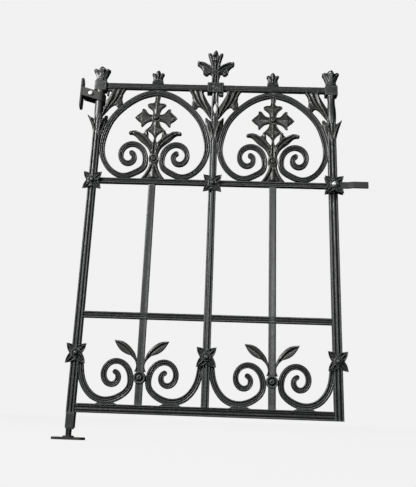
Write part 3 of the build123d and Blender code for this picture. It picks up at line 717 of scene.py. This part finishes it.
BOTTOM_MOULD = (
    (0, 0), (0.03, 0.8), (0.1, 1.4), (0.16, 1), (0.2, -1.4), (0.27, -1.6), (0.33, 1.1), (0.42, 1.8),
    (0.49, 0.9), (0.53, -2.4), (0.63, -2.6), (0.68, 0.4), (0.73, 1), (0.77, 0.2), (0.81, -1.7),
    (0.85, 0.4), (0.91, 1.5), (0.97, 0.9), (1, 0),
)
for name, (low, high), profile in (
    ("bottom_rail", BOTTOM_RAIL, one_sided(-8.4, RAIL_BACK, BOTTOM_MOULD)),
    ("lower_rail", LOWER_RAIL, section(-8.3, RAIL_BACK, RAIL)),
    ("lock_rail", LOCK_RAIL, section(-8.3, RAIL_BACK, RAIL)),
    ("top_rail", TOP_RAIL, section(-8.5, RAIL_BACK, TOP_REEDS)),
):
    inset = BLOCK_INSET if name == "top_rail" else RAIL_END
    middle = (low + high) / 2
    bar = sweep(straight((inset, middle), (LEAF_X - inset, middle)), (high - low,), profile)
    casting(name, bar)

for side, x in PANELS:
    bar = sweep(straight((x, BOTTOM_RAIL[1]), (x, LOCK_RAIL[0])), (BAR_WIDTH,), section(-4.9, 2.4, CONVEX))
    casting(f"{side}_bar", bar)


# ---- C-scrolls ----
# From the inside of the curl: edge bead, groove, thin bead, shallow groove, broad band, thin edge bead.
SCROLL = (
    (0, 0), (0.04, 1), (0.1, 1.5), (0.18, 1.2), (0.24, -1.3), (0.32, -2), (0.37, -0.6), (0.42, 1.6),
    (0.48, 2.1), (0.53, 1.2), (0.57, -0.6), (0.63, -0.2), (0.72, 1.3), (0.8, 1.6), (0.87, 0.9),
    (0.91, -0.9), (0.94, -0.3), (0.97, 0.9), (1, 0),
)
SCROLL_FRONT, SCROLL_BACK = -6.9, 4.2
side_x = BAY - HALF - 10
arch_path = smooth([
    (0, 1190), (50, 1176), (92, 1151), (134, 1111), (157.5, 1077), (177, 1023), (side_x, 965),
    (162, 905), (138, 880), (101, 866), (60, 880), *volute(84.5, 939, 55, -0.35, 4.75),
], SCROLL_STEP)
base_path = smooth([
    (190.5, 243), (188.5, 225), (182, 188), (162, 149), (141, 130), (103, 119.5), (60, 132),
    *volute(83, 193, 54, -0.3, 4.8),
], SCROLL_STEP)
shares = [0, 0.02, 0.05, 0.09, 0.13, 0.16, 0.19, 0.22, 0.26, 0.3, 0.34, 0.38, 0.42, 0.46, 0.5]
shares += [1 - s for s in reversed(shares[:-1])]
heights = np.interp(shares, *np.array(SCROLL).T)
flipped = heights[::-1]
even_heights = np.minimum(flipped, heights) * 0.3 + (flipped + heights) * 0.35
scroll_section = one_sided(SCROLL_FRONT, SCROLL_BACK, list(zip(shares, heights)))
scroll_end = one_sided(SCROLL_FRONT, SCROLL_BACK, list(zip(shares, even_heights)))
arch = sweep(arch_path, (22, 20, 20, 20, 17.5, 19, 18.5, 17.5, 18), scroll_section, scroll_end)
pad = outline((64, 108), [(134, 108), (127, 111)], (123, 116), (78, 118), [(76, 113), (70, 110)])
base = joined(
    sweep(base_path, (20, 20, 21, 21, 18.5, 18.5, 17, 18, 16), scroll_section, scroll_end),
    relief(pad, -6.4, SCROLL_BACK, FLAT, mesh=COARSE_MESH),
)
for side, x in PANELS:
    for facing, direction in (("outer", -1), ("inner", 1)):
        if side == "right":
            direction = -direction
        for kind, scroll in (("arch", arch), ("base", base)):
            placed = moved(mirrored(scroll) if direction < 0 else scroll, x)
            casting(f"{side}_{facing}_{kind}_scroll", placed)


# ---- ornaments of the two bays ----
LEAF_FRONT, LEAF_BACK = -4.6, 1.8


def petals():
    side = outline(
        (4, 0), [(12, -12), (28, -17)], [(46, -35), (51, -34), (52, -24), (60, -15)],
        [(75, 0), (60, 15), (52, 24)], [(51, 34), (46, 35), (28, 17)], (12, 12),
    )
    side_ribs = [
        ([(14, 0), (71, 0)], 2.6, 1), ([(50, 0), (48, 28)], 3, 0.8), ([(50, 0), (48, -28)], 3, 0.8),
    ]
    up = outline(
        (0, 4), [(12, 12), (16, 30)], [(33, 48), (33, 52), (24, 57), (10, 60)], [(8, 66), (8, 92)],
        [(-8, 92), (-8, 66), (-10, 60), (-24, 57)], [(-33, 52), (-33, 48), (-16, 30)], (-12, 12),
    )
    up_ribs = [([(0, 14), (0, 92)], 2.6, 1.2), *twins(([(0, 44), (28, 50)], 3, 0.6))]
    down = outline(
        (0, -4), [(-12, -12), (-18, -30)], [(-31, -45), (-22, -54), (-10, -65)], (-4, -76),
        [(4, -76), (10, -65), (22, -54)], [(31, -45), (18, -30)], (12, -12),
    )
    down_ribs = [([(0, -14), (0, -74)], 2.6, 1.2), *twins(([(0, -40), (27, -44)], 3, 0.6))]
    boss = (
        (16, 1.5), (16, -4.6), (15, -6.4), (12.4, -7.2), (11, -5.4), (9.8, -5.2), (8.8, -8.2), (7.2, -10.8),
        (4.5, -12), (2.6, -12), (1.4, -11),
    )
    side, up, down = (
        relief(petal, -4.3, 1.6, PETAL, ribs)
        for petal, ribs in ((side, side_ribs), (up, up_ribs), (down, down_ribs))
    )
    return joined(both(side), up, down, turned(boss))


def spray():
    foot = outline(
        (-42, 856), [(42, 856), (30, 872), (18, 896)], [(14, 913), (17, 930), (14, 950)],
        [(9, 990), (5, 1000)], (4, 1013), (-4, 1013), [(-5, 1000), (-9, 990)],
        [(-14, 950), (-17, 930), (-14, 913)], [(-18, 896), (-30, 872)],
    )
    foot_ribs = [
        *twins(([(9, 905), (17, 884), (33, 860)], 3, 3.2)), ([(0, 890), (0, 863)], 6, 3.6),
        *twins(([(5, 902), (11, 882), (22, 860)], 1.7, -3.4)), ([(-16, 861), (16, 861)], 2, 2),
        *twins(([(-6, 950), (-4.5, 985), (-2, 1008)], 1.8, 2.4)), ([(0, 950), (0, 1000)], 1.8, -2.4),
    ]
    leaf = outline(
        (5, 940), [(14, 950), (23, 971), (39, 988), (53, 999), (65, 1012), (80, 1022)],
        [(88, 1022), (93, 1027), (87, 1035)], [(76, 1038), (60, 1036), (44, 1028)],
        [(38, 1031), (34, 1040)], [(30, 1043), (24, 1030), (23, 1015)], (12, 998), (5, 990),
    )
    leaf_ribs = [
        ([(10, 952), (21, 978), (38, 997), (53, 1010), (68, 1022), (82, 1028)], 1.9, 2.8),
        ([(9, 958), (18, 985), (34, 1005), (49, 1017), (66, 1026)], 1.7, -3.2),
        ([(9, 966), (17, 992), (31, 1012), (46, 1024), (64, 1031)], 2.6, 2.2),
        ([(12, 988), (20, 1003), (28, 1018)], 1.6, -2.8),
        ([(18, 1003), (27, 1018), (32, 1036)], 2.2, 2.2),
    ]
    curled = turned(((6.2, 0), (6.2, -5.5), (5.6, -8), (4, -9.8), (1.5, -10.6)), 86.5, 1028.3, sides=28)
    knob = turned(((4.6, 0), (4.6, -7), (4, -9.2), (2.6, -10.3), (1, -10.7)), 31.5, 1036.5, sides=24)
    leaves = joined(relief(leaf, LEAF_FRONT, LEAF_BACK, SOFT, leaf_ribs), curled, knob)
    return joined(relief(foot, -4.2, 1.6, SOFT, foot_ribs), both(leaves))


def leaf_pair():
    blade = outline(
        (10, 208), [(18, 208), (13, 225), (20, 245)], [(33, 258), (55, 266), (72, 280)],
        [(87, 305), (61, 302), (38, 288)], [(20, 267), (13, 249)], (10, 238),
    )
    ribs = [
        ([(13, 212), (13, 234), (23, 260), (45, 285), (66, 298), (82, 302)], 2.1, 2.8),
        ([(16, 238), (28, 258), (50, 281), (72, 295)], 1.6, -2.4),
        ([(14, 252), (22, 270), (40, 290), (58, 300)], 1.4, -1.6),
    ]
    return both(relief(blade, LEAF_FRONT, LEAF_BACK, LEAF_BLADE, ribs))


def hub(radius, seat, boss):
    """A stepped rivet head: outer ring, groove, raised ring and a dimpled boss."""
    rings = (
        (1, 0), (0.97, 1.7), (0.9, 3.1), (0.8, 3.3), (0.71, 2.5), (0.65, 0.4), (0.61, -1.2), (0.53, -1.2),
        (0.49, 0.8), (0.45, 3.4), (0.39, boss * 0.82), (0.3, boss), (0.2, boss), (0.14, boss * 0.78),
        (0.05, boss * 0.66),
    )
    front = [(radius, 6.5)] + [(share * radius, seat - height) for share, height in rings]
    rear = [(share * radius, y) for share, y in ((0.8, 4), (0.8, 7.2), (0.7, 8), (0.4, 8.2))]
    return joined(turned(front), turned(rear, sides=32))


cross, the_spray, pair = petals(), spray(), leaf_pair()
upper_hub, lower_hub = hub(ARCH_HUB_R, -8.6, 6), hub(BASE_HUB_R, -8.9, 7)
for side, x in PANELS:
    casting(f"{side}_cross", moved(cross, x, z=CROSS_Z), LEAF_IRON)
    casting(f"{side}_leaf_spray", moved(the_spray, x), LEAF_IRON, name=f"{side}_spray")
    casting(f"{side}_leaf_pair", moved(pair, x), LEAF_IRON)
    casting(f"{side}_upper_hub", moved(upper_hub, x, z=ARCH_HUB_Z), LEAF_IRON)
    casting(f"{side}_lower_hub", moved(lower_hub, x, z=BASE_HUB_Z))


# ---- ornaments round the stiles ----
def sprig(*inner_edge):
    """A ribbed leaf under the top rail, drawn for a stile at X = 0 and spreading to +X."""
    leaf = outline(
        [(HALF, 1088), (30, 1112), (45, 1130), (58, 1136)], [(64, 1128), (76, 1128), (83, 1142)],
        [(80, 1160), (83, 1182)], (94, 1201), (40, 1201), *inner_edge,
    )
    ribs = [
        ([(14, 1096), (28, 1130), (42, 1164), (50, 1200)], 3, 3.2),
        ([(22, 1106), (36, 1134), (51, 1166), (60, 1200)], 1.7, -3),
        ([(30, 1116), (46, 1140), (61, 1170), (70, 1200)], 3, 2.6),
        ([(40, 1126), (56, 1148), (70, 1176), (79, 1200)], 1.8, -3.4),
        ([(62, 1146), (72, 1162), (80, 1184), (88, 1200)], 2.4, 2.2),
    ]
    curl = turned(
        ((9.2, 0), (9.2, -6.6), (8.4, -9), (6.8, -10), (5.4, -8.6), (4.6, -6.4), (3.8, -6.4), (3.2, -9),
         (1.8, -10.6), (0.6, -11)), 71.5, 1139.5, sides=32,
    )
    bud = turned(((6, 0), (6, -6.2), (5.2, -8.4), (3.4, -9.6), (1, -10)), 76, 1171, sides=26)
    return joined(relief(leaf, -4.4, LEAF_BACK, SOFT, ribs, mesh=1.45), curl, bud)


def sheath(left, right):
    """A calyx of pointed leaves round a stile: thin where its leaves stand off, thick over the stile.
    left and right are the outer edges of its leaves, from the bottom up to the tip."""
    down_left = [(-x, z) for x, z in reversed(left)]
    mouth = ((HALF + 2, 1080), (6, 1094), (0, 1108), (-6, 1094), (-HALF - 2, 1080))
    leaf = outline([down_left[-1]], right[:-1], [right[-1]], *mouth, down_left[:-1])
    base = min(left[0][1], right[0][1]) + 5
    ribs = []
    for side, (reach, top) in ((1, right[-1]), (-1, left[-1])):
        ribs.append(([(side * 4, base), (side * 10, 1045), (side * (reach - 5), top - 6)], 3.4, 7.6))
        ribs.append(([(side * 14, base + 30), (side * (reach - 9), top - 12)], 1.5, -2.4))
    return relief(leaf, -6.6, 6.6, SOFT, ribs, mesh=1.4, back_share=1, swell=(base, base + 45))


plain_edge = ([(42, 1190), (27, 1160)], (HALF, 1135))
lobed_edge = (
    (24, 1201), (24, 1174), (31, 1172), (32, 1192), [(42, 1190), (28, 1160)], (22.8, 1152),
    (22.8, 1132), (HALF, 1130),
)
right_leaf = sprig(*plain_edge)
casting("hinge_corner_sprig", sprig(*lobed_edge), LEAF_IRON)
casting("latch_corner_sprig", moved(mirrored(right_leaf), LEAF_X), LEAF_IRON)
casting("centre_sprigs", moved(both(right_leaf), CENTRE_X), LEAF_IRON)
to_scroll = [(13.5, 1002), (22, 1035), (30, 1064), (33, 1093)]
at_hinge = [(13.5, 1028), (20, 1052), (39, 1094)]
at_latch = [(13.5, 1022), (21, 1050), (36, 1095)]
for name, x, left, right in (
    ("hinge", 0, at_hinge, to_scroll),
    ("centre", CENTRE_X, to_scroll, to_scroll),
    ("latch", LEAF_X, to_scroll, at_latch),
):
    casting(f"{name}_stile_sheath", moved(sheath(left, right), x), LEAF_IRON, name=f"{name}_sheath")


# ---- top ornaments ----
def crown(waist, spread, base_z, waist_z, side_z, tip_z, front, rise, share=0.6):
    notch = (spread * 0.42, side_z - 4)
    bud = outline(
        (-waist * 1.25, base_z), (waist * 1.25, base_z),
        [(waist, waist_z), (spread * 0.82, (waist_z + side_z) / 2)],
        [(spread, side_z - 6), (spread * 0.8, side_z)], [notch, (spread * 0.25, side_z + 6)],
        [(0, tip_z), (-spread * 0.25, side_z + 6)], [(-notch[0], notch[1])],
        [(-spread * 0.8, side_z), (-spread, side_z - 6)], [(-spread * 0.82, (waist_z + side_z) / 2)],
        (-waist, waist_z),
    )
    top = side_z - 7
    ribs = [
        ([(0, waist_z - 4), (0, tip_z - 5)], 2.6, 3),
        *twins(([(5, waist_z), (spread * 0.55, top - 10), (spread * 0.88, top)], 2.2, 2.6)),
        *twins(([(3, waist_z + 2), (spread * 0.34, top - 2)], 1.7, -3)),
        ([(-waist, base_z + 4), (waist, base_z + 4)], 2, 1.4),
        ([(-waist, waist_z - 7), (waist, waist_z - 7)], 1.8, -1.6),
    ]
    return relief(bud, front, -front, rise, ribs, back_share=share)


def corner_finial(lift):
    low, high = BLOCK_Z
    block = prism(rounded_plan((-22, 22), (-15, 15), 2.4), low, high, 1.6)
    face = relief(rectangle(19, low + 3, high - 3), -13.2, 13.2, SUNK, mesh=COARSE_MESH, back_share=1)
    side = quarter_turned(relief(rectangle(12, low + 4, high - 4), -20.6, 20.6, FLAT, mesh=COARSE_MESH))
    wide = crown(17, 30, high, 1242, 1280 + lift, 1291 + lift, -7, BUD, 1)
    deep = quarter_turned(crown(12, 18.5, high, 1242, 1278 + lift, 1290 + lift, -6, BUD, 1))
    core = [(9, high), (9, 1245), (10.5, 1262)]
    core += [(radius, z + lift) for radius, z in ((9.5, 1276), (6, 1286), (2.4, 1291.5), (0.4, 1291.9))]
    ball = ((2, 1267), (4.6, 1270), (5.4, 1274.5), (4.4, 1279), (1.6, 1281))
    balls = [moved(spun(ball, x, sides=20), z=lift) for x in (-25.2, 25.2)]
    return joined(block, face, side, wide, deep, spun(core, sides=24), *balls)


def centre_finial():
    stem = outline((-14, 1226), (14, 1226), [(13, 1250), (13.5, 1290)], [(-13.5, 1290), (-13, 1250)])
    flutes = [([(x, 1228), (x * 0.95, 1262), (x, 1288)], 2, 2.6) for x in (-9.5, 0, 9.5)]
    flutes += [([(x, 1228), (x * 0.95, 1262), (x * 0.6, 1284)], 1.6, -2.4) for x in (-4.8, 4.8)]
    leaf = outline(
        (2, 1266), (9, 1262), [(13, 1264), (22, 1271)], [(28, 1264), (36, 1264), (44, 1275)],
        [(48, 1288), (56, 1298)], [(66, 1306), (67, 1314), (61, 1321)], [(52, 1322), (30, 1312)], (13, 1299),
        (2, 1284),
    )
    ribs = [
        ([(4, 1279), (16, 1294), (32, 1307), (48, 1315), (62, 1316)], 2.7, 3.8),
        ([(5, 1272), (16, 1286), (32, 1298), (48, 1306), (58, 1308)], 1.9, -3.6),
        ([(7, 1266), (16, 1278), (30, 1290), (44, 1297)], 2.2, 2.6),
        ([(14, 1271), (24, 1279), (36, 1287)], 1.6, -2.8),
    ]
    curl_path = smooth(
        [(20, 1272), (27, 1281), (36, 1284), (43, 1279), (42, 1271), (35, 1269), (31, 1274), (35, 1277)],
        1.5,
    )
    curl = sweep(
        curl_path, (4.5, 4.5, 4, 3.5), section(-8.2, 4, ((0, 0), (0.2, 0.9), (0.6, 1.6), (1, 1.8))),
    )
    tip = turned(((6.4, 0), (6.4, -7.5), (5.6, -10), (3.8, -11.4), (1, -12)), 60.3, 1313.5, sides=28)
    side_leaf = joined(relief(leaf, -5.2, 5.2, SOFT, ribs, mesh=1.8, back_share=0.7), tip, curl)
    bud = outline(
        (-12, 1288), (11, 1288), [(15, 1304), (20, 1330)], [(26, 1350), (24, 1356), (19, 1356), (11, 1346)],
        (6, 1360), (-1, 1369), (-8, 1360), [(-13, 1346), (-21, 1356), (-27, 1356)],
        [(-29, 1350), (-23, 1330), (-16, 1304)],
    )
    bud_ribs = [
        ([(-1, 1351), (-1, 1364)], 2.6, 2.6), ([(13, 1306), (16, 1330), (22, 1350)], 2.4, 2.4),
        ([(-14, 1306), (-18, 1330), (-25, 1350)], 2.4, 2.4), ([(-4, 1342), (2, 1342)], 3.4, -6.5),
        ([(-11, 1347), (-6, 1349), (4, 1349), (9, 1347)], 1.9, 2.2),
        ([(-9, 1336), (0, 1334), (8, 1336)], 2, 2.4), ([(-7, 1324), (-8, 1331)], 1.9, 2.8),
        ([(-1, 1324), (-1, 1331)], 1.7, 2.4), ([(6, 1324), (7, 1331)], 1.9, 2.8),
        ([(-12, 1320), (11, 1320)], 1.7, -3), ([(-9, 1314), (8, 1314)], 2.2, 2),
        ([(-1, 1290), (-1, 1312)], 2.6, 3.4), ([(-6, 1292), (-7, 1310)], 1.8, -2.6),
        ([(5, 1292), (6, 1310)], 1.8, -2.6),
    ]
    return joined(
        relief(stem, -5.4, 5.4, FLAT, flutes, back_share=0.8), both(side_leaf),
        relief(bud, -5.6, 5.6, SOFT, bud_ribs, mesh=1.8, back_share=0.8),
    )


casting("hinge_corner_finial", corner_finial(0))
casting("latch_corner_finial", moved(corner_finial(LATCH_FINIAL_LIFT), LEAF_X))
small_crown = crown(17.5, 22.5, 1222, 1240, 1268, 1279, -5, SOFT)
for side, x in PANELS:
    casting(f"{side}_crown_finial", moved(small_crown, x + CROWN_SHIFT, -2), name=f"{side}_crown")
casting("centre_finial", moved(centre_finial(), CENTRE_X + CROWN_SHIFT))


def collar():
    """A sleeve on the top rail, reeded on both sides of a sunk panel."""
    plan = [(-28, 10.5), (-28, -12.5), (-26.6, -14.2)]
    for x in (-25, -18, 18, 25):
        plan += [(x - 2.6, -13.6), (x - 1.4, -15.4), (x + 1.4, -15.4), (x + 2.6, -13.6)]
        if x == -18:
            plan += [(-13.6, -13.4), (-12.4, -12), (-4, -11.8), (4, -12.1), (12.4, -12), (13.6, -13.4)]
    plan += [(26.8, -14), (28, -12.5), (28, 10.5), (26.6, 12), (-26.6, 12)]
    body = prism(plan[::-1], COLLAR_Z[0], COLLAR_Z[1] - 1.5, 1.2)
    lip = prism(rounded_plan((-27, 27), (-14.4, 11), 2), COLLAR_Z[1] - 6, COLLAR_Z[1], 1.3)
    foot_lip = prism(rounded_plan((-27, 27), (-15.2, 11.4), 2), COLLAR_Z[0] + 0.5, COLLAR_Z[0] + 5, 1.2)
    dents = (
        (-6, 1206, 3.2, -3.2), (8, 1200, 2.6, -3), (-5, 1216, 2.6, 2.2), (-5, 1198, 2.4, 1.8),
        (5, 1212, 3, 1.6), (2, 1204, 2, 1.2),
    )
    dents = [([(x, z), (x + 1, z + 1)], size, tall) for x, z, size, tall in dents]
    panel = relief(rectangle(12.6, 1195, 1223), -11.4, -9, FLAT, dents, back_share=0)
    return joined(body, lip, foot_lip, panel)


casting("collar", moved(collar(), CENTRE_X), uneven=0.3)
screw = joined(
    prism(rounded_plan((-7.5, 7.5), (-9.5, 5.5), 1.2), 1181, 1191.5, 1.1),
    spun(((6, 1190), (6, 1201)), y=-2, sides=24),
)
piece("collar_screw_steel", moved(screw, SET_SCREW_X), "collar_screw", material=IRON, uneven=0.1)


# ---- rosettes ----
def rosette(boss=True):
    """A square of four petals with raised borders and midribs, round a ringed boss. Its back is Y = 0."""
    corner, waist, edge, along = ROSETTE_HALF - 0.2, ROSETTE_WAIST - 0.1, 27.8, 14
    runs = []
    for turn in range(4):
        for run in ([(corner, -corner), (edge, -along)], [(waist, 0), (edge, along)]):
            for _ in range(turn):
                run = [(-z, x) for x, z in run]
            runs.append(run)
    square = outline(*runs)
    petal_ribs = (
        (((9, 9), (26, 26)), 1.6, 2.6), (((15, 9), (21, 14), (25, 20)), 1.7, -2.2),
        (((9, 15), (14, 21), (20, 25)), 1.7, -2.2),
    )
    ribs = []
    for side, way in ((-1, -1), (-1, 1), (1, -1), (1, 1)):
        ribs += [([(side * x, way * z) for x, z in run], width, tall) for run, width, tall in petal_ribs]
    face = relief(square, -2.8, -0.6, ROSETTE, ribs, mesh=1.3, back_share=0)
    ring = [(14.2, -0.8), (14.2, -4.6), (13.4, -6.2), (12.2, -6.9), (11, -6.2), (10.2, -3.8), (9.4, -3.4)]
    if boss:
        ring += [(8.6, -5.8), (7.4, -9.2), (5.4, -11.4), (3, -12.3), (0.8, -12.5)]
    else:
        ring += [(8.4, -4.4), (3, -4.6)]
    bead = ((3.4, -1), (3.4, -3.6), (2.6, -5), (0.9, -5.7))
    beads = [turned(bead, 0, z, sides=18) for z in (17.5, -17.5)]
    return joined(face, turned(ring, sides=44), *beads)


bossed, plain = rosette(), rosette(boss=False)
for row, z in (("upper", UPPER_ROSETTE_Z), ("lower", LOWER_ROSETTE_Z)):
    for column, x in (("hinge", ROSETTE_INSET), ("centre", CENTRE_X), ("latch", LATCH_X)):
        face = plain if (row, column) == ("upper", "latch") else bossed
        casting(f"{column}_{row}_rosette", moved(face, x, -HALF, z))


# ---- latch ----
COVER_Y = -28
STOP_PEG = (LATCH_X + 17, 827.5)
cover = joined(
    moved(rosette(boss=False), LATCH_X, COVER_Y, UPPER_ROSETTE_Z),
    turned(((4, -17.5), (4, COVER_Y)), *STOP_PEG, sides=24),
)
casting("latch_cover_rosette", cover, name="latch_cover")
latch_dome = ((8.6, 1.6), (8.6, -0.3), (8.2, -1.8), (7, -3.6), (5, -5), (2.6, -5.8), (0.6, -6))
latch_head = turned(latch_dome, LATCH_X, UPPER_ROSETTE_Z, -34.5, sides=36)
latch_shank = turned(((6, 25.5), (6, -33)), LATCH_X, UPPER_ROSETTE_Z, sides=32)
fastener("latch_bolt", joined(latch_head, latch_shank))
fastener("latch_nut", hexagon_head(LATCH_X, UPPER_ROSETTE_Z, HALF, 19, 8.8, 1), sharp=25)
keep("latch_bar", STEEL, 0.9)


# ---- hinges ----
keep("hinge_strap", BRACKET, 0.7)
keep("wall_bracket", BRACKET, 0.8)
bolt_x, bolt_z = STRAP_BOLT
strap_bolt = joined(
    turned(((8.4, 0), (8.4, -1.4), (8, -1.9), (7.2, -2)), bolt_x, bolt_z, -STRAP_REACH, sides=36),
    hexagon_head(bolt_x, bolt_z, -STRAP_REACH - 1.9, 13.4, 3.4),
    turned(((5, 30.5), (5, -STRAP_REACH)), bolt_x, bolt_z, sides=28),
)
strap_nut = hexagon_head(bolt_x, bolt_z, STRAP_REACH, 16.4, 7.9, 1)
fastener("strap_bolt", strap_bolt, body="post_fittings", sharp=25)
fastener("strap_nut", strap_nut, body="post_fittings", sharp=25)

shoe = joined(
    prism(rounded_plan((-11, 15.5), (-13, 13), 1.8), 34, 80, 1), prism(
        rounded_plan((-8.6, 13), (-10.6, 10.6), 1.6), 30, 35, 0.8,
    ),
    prism(rounded_plan((-11.4, 15.9), (-13.4, 13.4), 2), 74, 80.5, 1),
)
casting("pivot_shoe", shoe, uneven=0.25)
keep("pivot_pin", STEEL, 0)
keep("foot_plate", BRACKET, 0.8)


# ---- stage, lights and camera ----
def pale(name, glow, albedo):
    """A pale paper surface with a little light of its own, so that it's even all over."""
    material = bpy.data.materials.new(name)
    material.use_nodes = True
    shader = material.node_tree.nodes["Principled BSDF"]
    for key, value in (
        ("Base Color", (albedo, albedo, albedo, 1)), ("Roughness", 1.0), ("Specular IOR Level", 0.0),
        ("Emission Color", (1.0, 1.0, 0.998, 1)), ("Emission Strength", glow),
    ):
        shader.inputs[key].default_value = value
    return material


def stage_mesh(name, shape, material):
    data = bpy.data.meshes.new(name)
    data.from_pydata(shape[0].tolist(), [], shape[1])
    data.materials.append(material)
    made = bpy.data.objects.new(name, data)
    bpy.context.scene.collection.objects.link(made)
    made.visible_diffuse = False
    made.visible_glossy = False
    made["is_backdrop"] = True


FLOOR_HALF, DOME_RADIUS, DOME_SUNK = 40, 55, 2
ground = [(x * FLOOR_HALF, y * FLOOR_HALF, 0) for x, y in ((-1, -1), (1, -1), (1, 1), (-1, 1))]
stage_mesh("pale_floor", (np.array(ground, float), [(0, 1, 2, 3)]), pale("pale_floor_paper", 0.868, 0.02))
rises = [math.radians(angle) for angle in (-6, 10, 25, 40, 55, 70, 82, 89)]
dome_rows = [(DOME_RADIUS * math.cos(rise), DOME_RADIUS * math.sin(rise) - DOME_SUNK) for rise in rises]
stage_mesh("pale_backdrop", spun(dome_rows, sides=48), pale("pale_backdrop_paper", 0.885, 0.0))


def softbox(name, place, target, size, power, colour=(1, 1, 1)):
    lamp = bpy.data.lights.new(name, "AREA")
    lamp.shape = "RECTANGLE"
    lamp.size, lamp.size_y = size
    lamp.energy = power
    lamp.color = colour
    made = bpy.data.objects.new(name, lamp)
    made.location = place
    made.rotation_euler = (Vector(target) - Vector(place)).to_track_quat("-Z", "Y").to_euler()
    bpy.context.scene.collection.objects.link(made)
    return made


gate_middle = Vector((0.41, 0, 0.7))
softbox("key_softbox", (-2.4, -2.1, 2.5), gate_middle, (1.0, 1.0), 205, (1.0, 0.99, 0.98))
glint = softbox("front_softbox", (1.0, -3.1, 1.1), (0.6, 0, 0.45), (0.5, 1.0), 46, (0.96, 0.99, 1.0))
glint.visible_diffuse = False
softbox("back_softbox", (0.4, 1.2, 4.4), gate_middle, (1.6, 1.6), 90)

world = bpy.data.worlds.new("studio")
world.use_nodes = True
sky = world.node_tree.nodes["Background"].inputs
sky["Color"].default_value = (0.94, 0.97, 1.0, 1)
sky["Strength"].default_value = 0.02
bpy.context.scene.world = world
bpy.context.scene.view_settings.view_transform = "Standard"

CAMERA_PLACE = (0.4524, -1.9096, 0.0713)
PITCH, YAW, ROLL = 0.285867, 0.025141, 0.035447
LENS, SENSOR_WIDTH = 44.35, 36.0
upright = Matrix(((1, 0, 0), (0, 0, -1), (0, 1, 0)))
level = Matrix.Rotation(-PITCH, 3, "X") @ Matrix.Rotation(YAW, 3, "Y") @ upright
right, down, forward = Matrix.Rotation(ROLL, 3, "Z") @ level
camera = bpy.data.objects.new("camera", bpy.data.cameras.new("camera"))
camera.data.sensor_width = SENSOR_WIDTH
camera.data.lens = LENS
camera.data.clip_end = 200.0
placed = Matrix((right, -down, -forward)).transposed().to_4x4()
placed.translation = Vector(CAMERA_PLACE)
camera.matrix_world = placed
bpy.context.scene.collection.objects.link(camera)
bpy.context.scene.camera = camera

low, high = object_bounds()
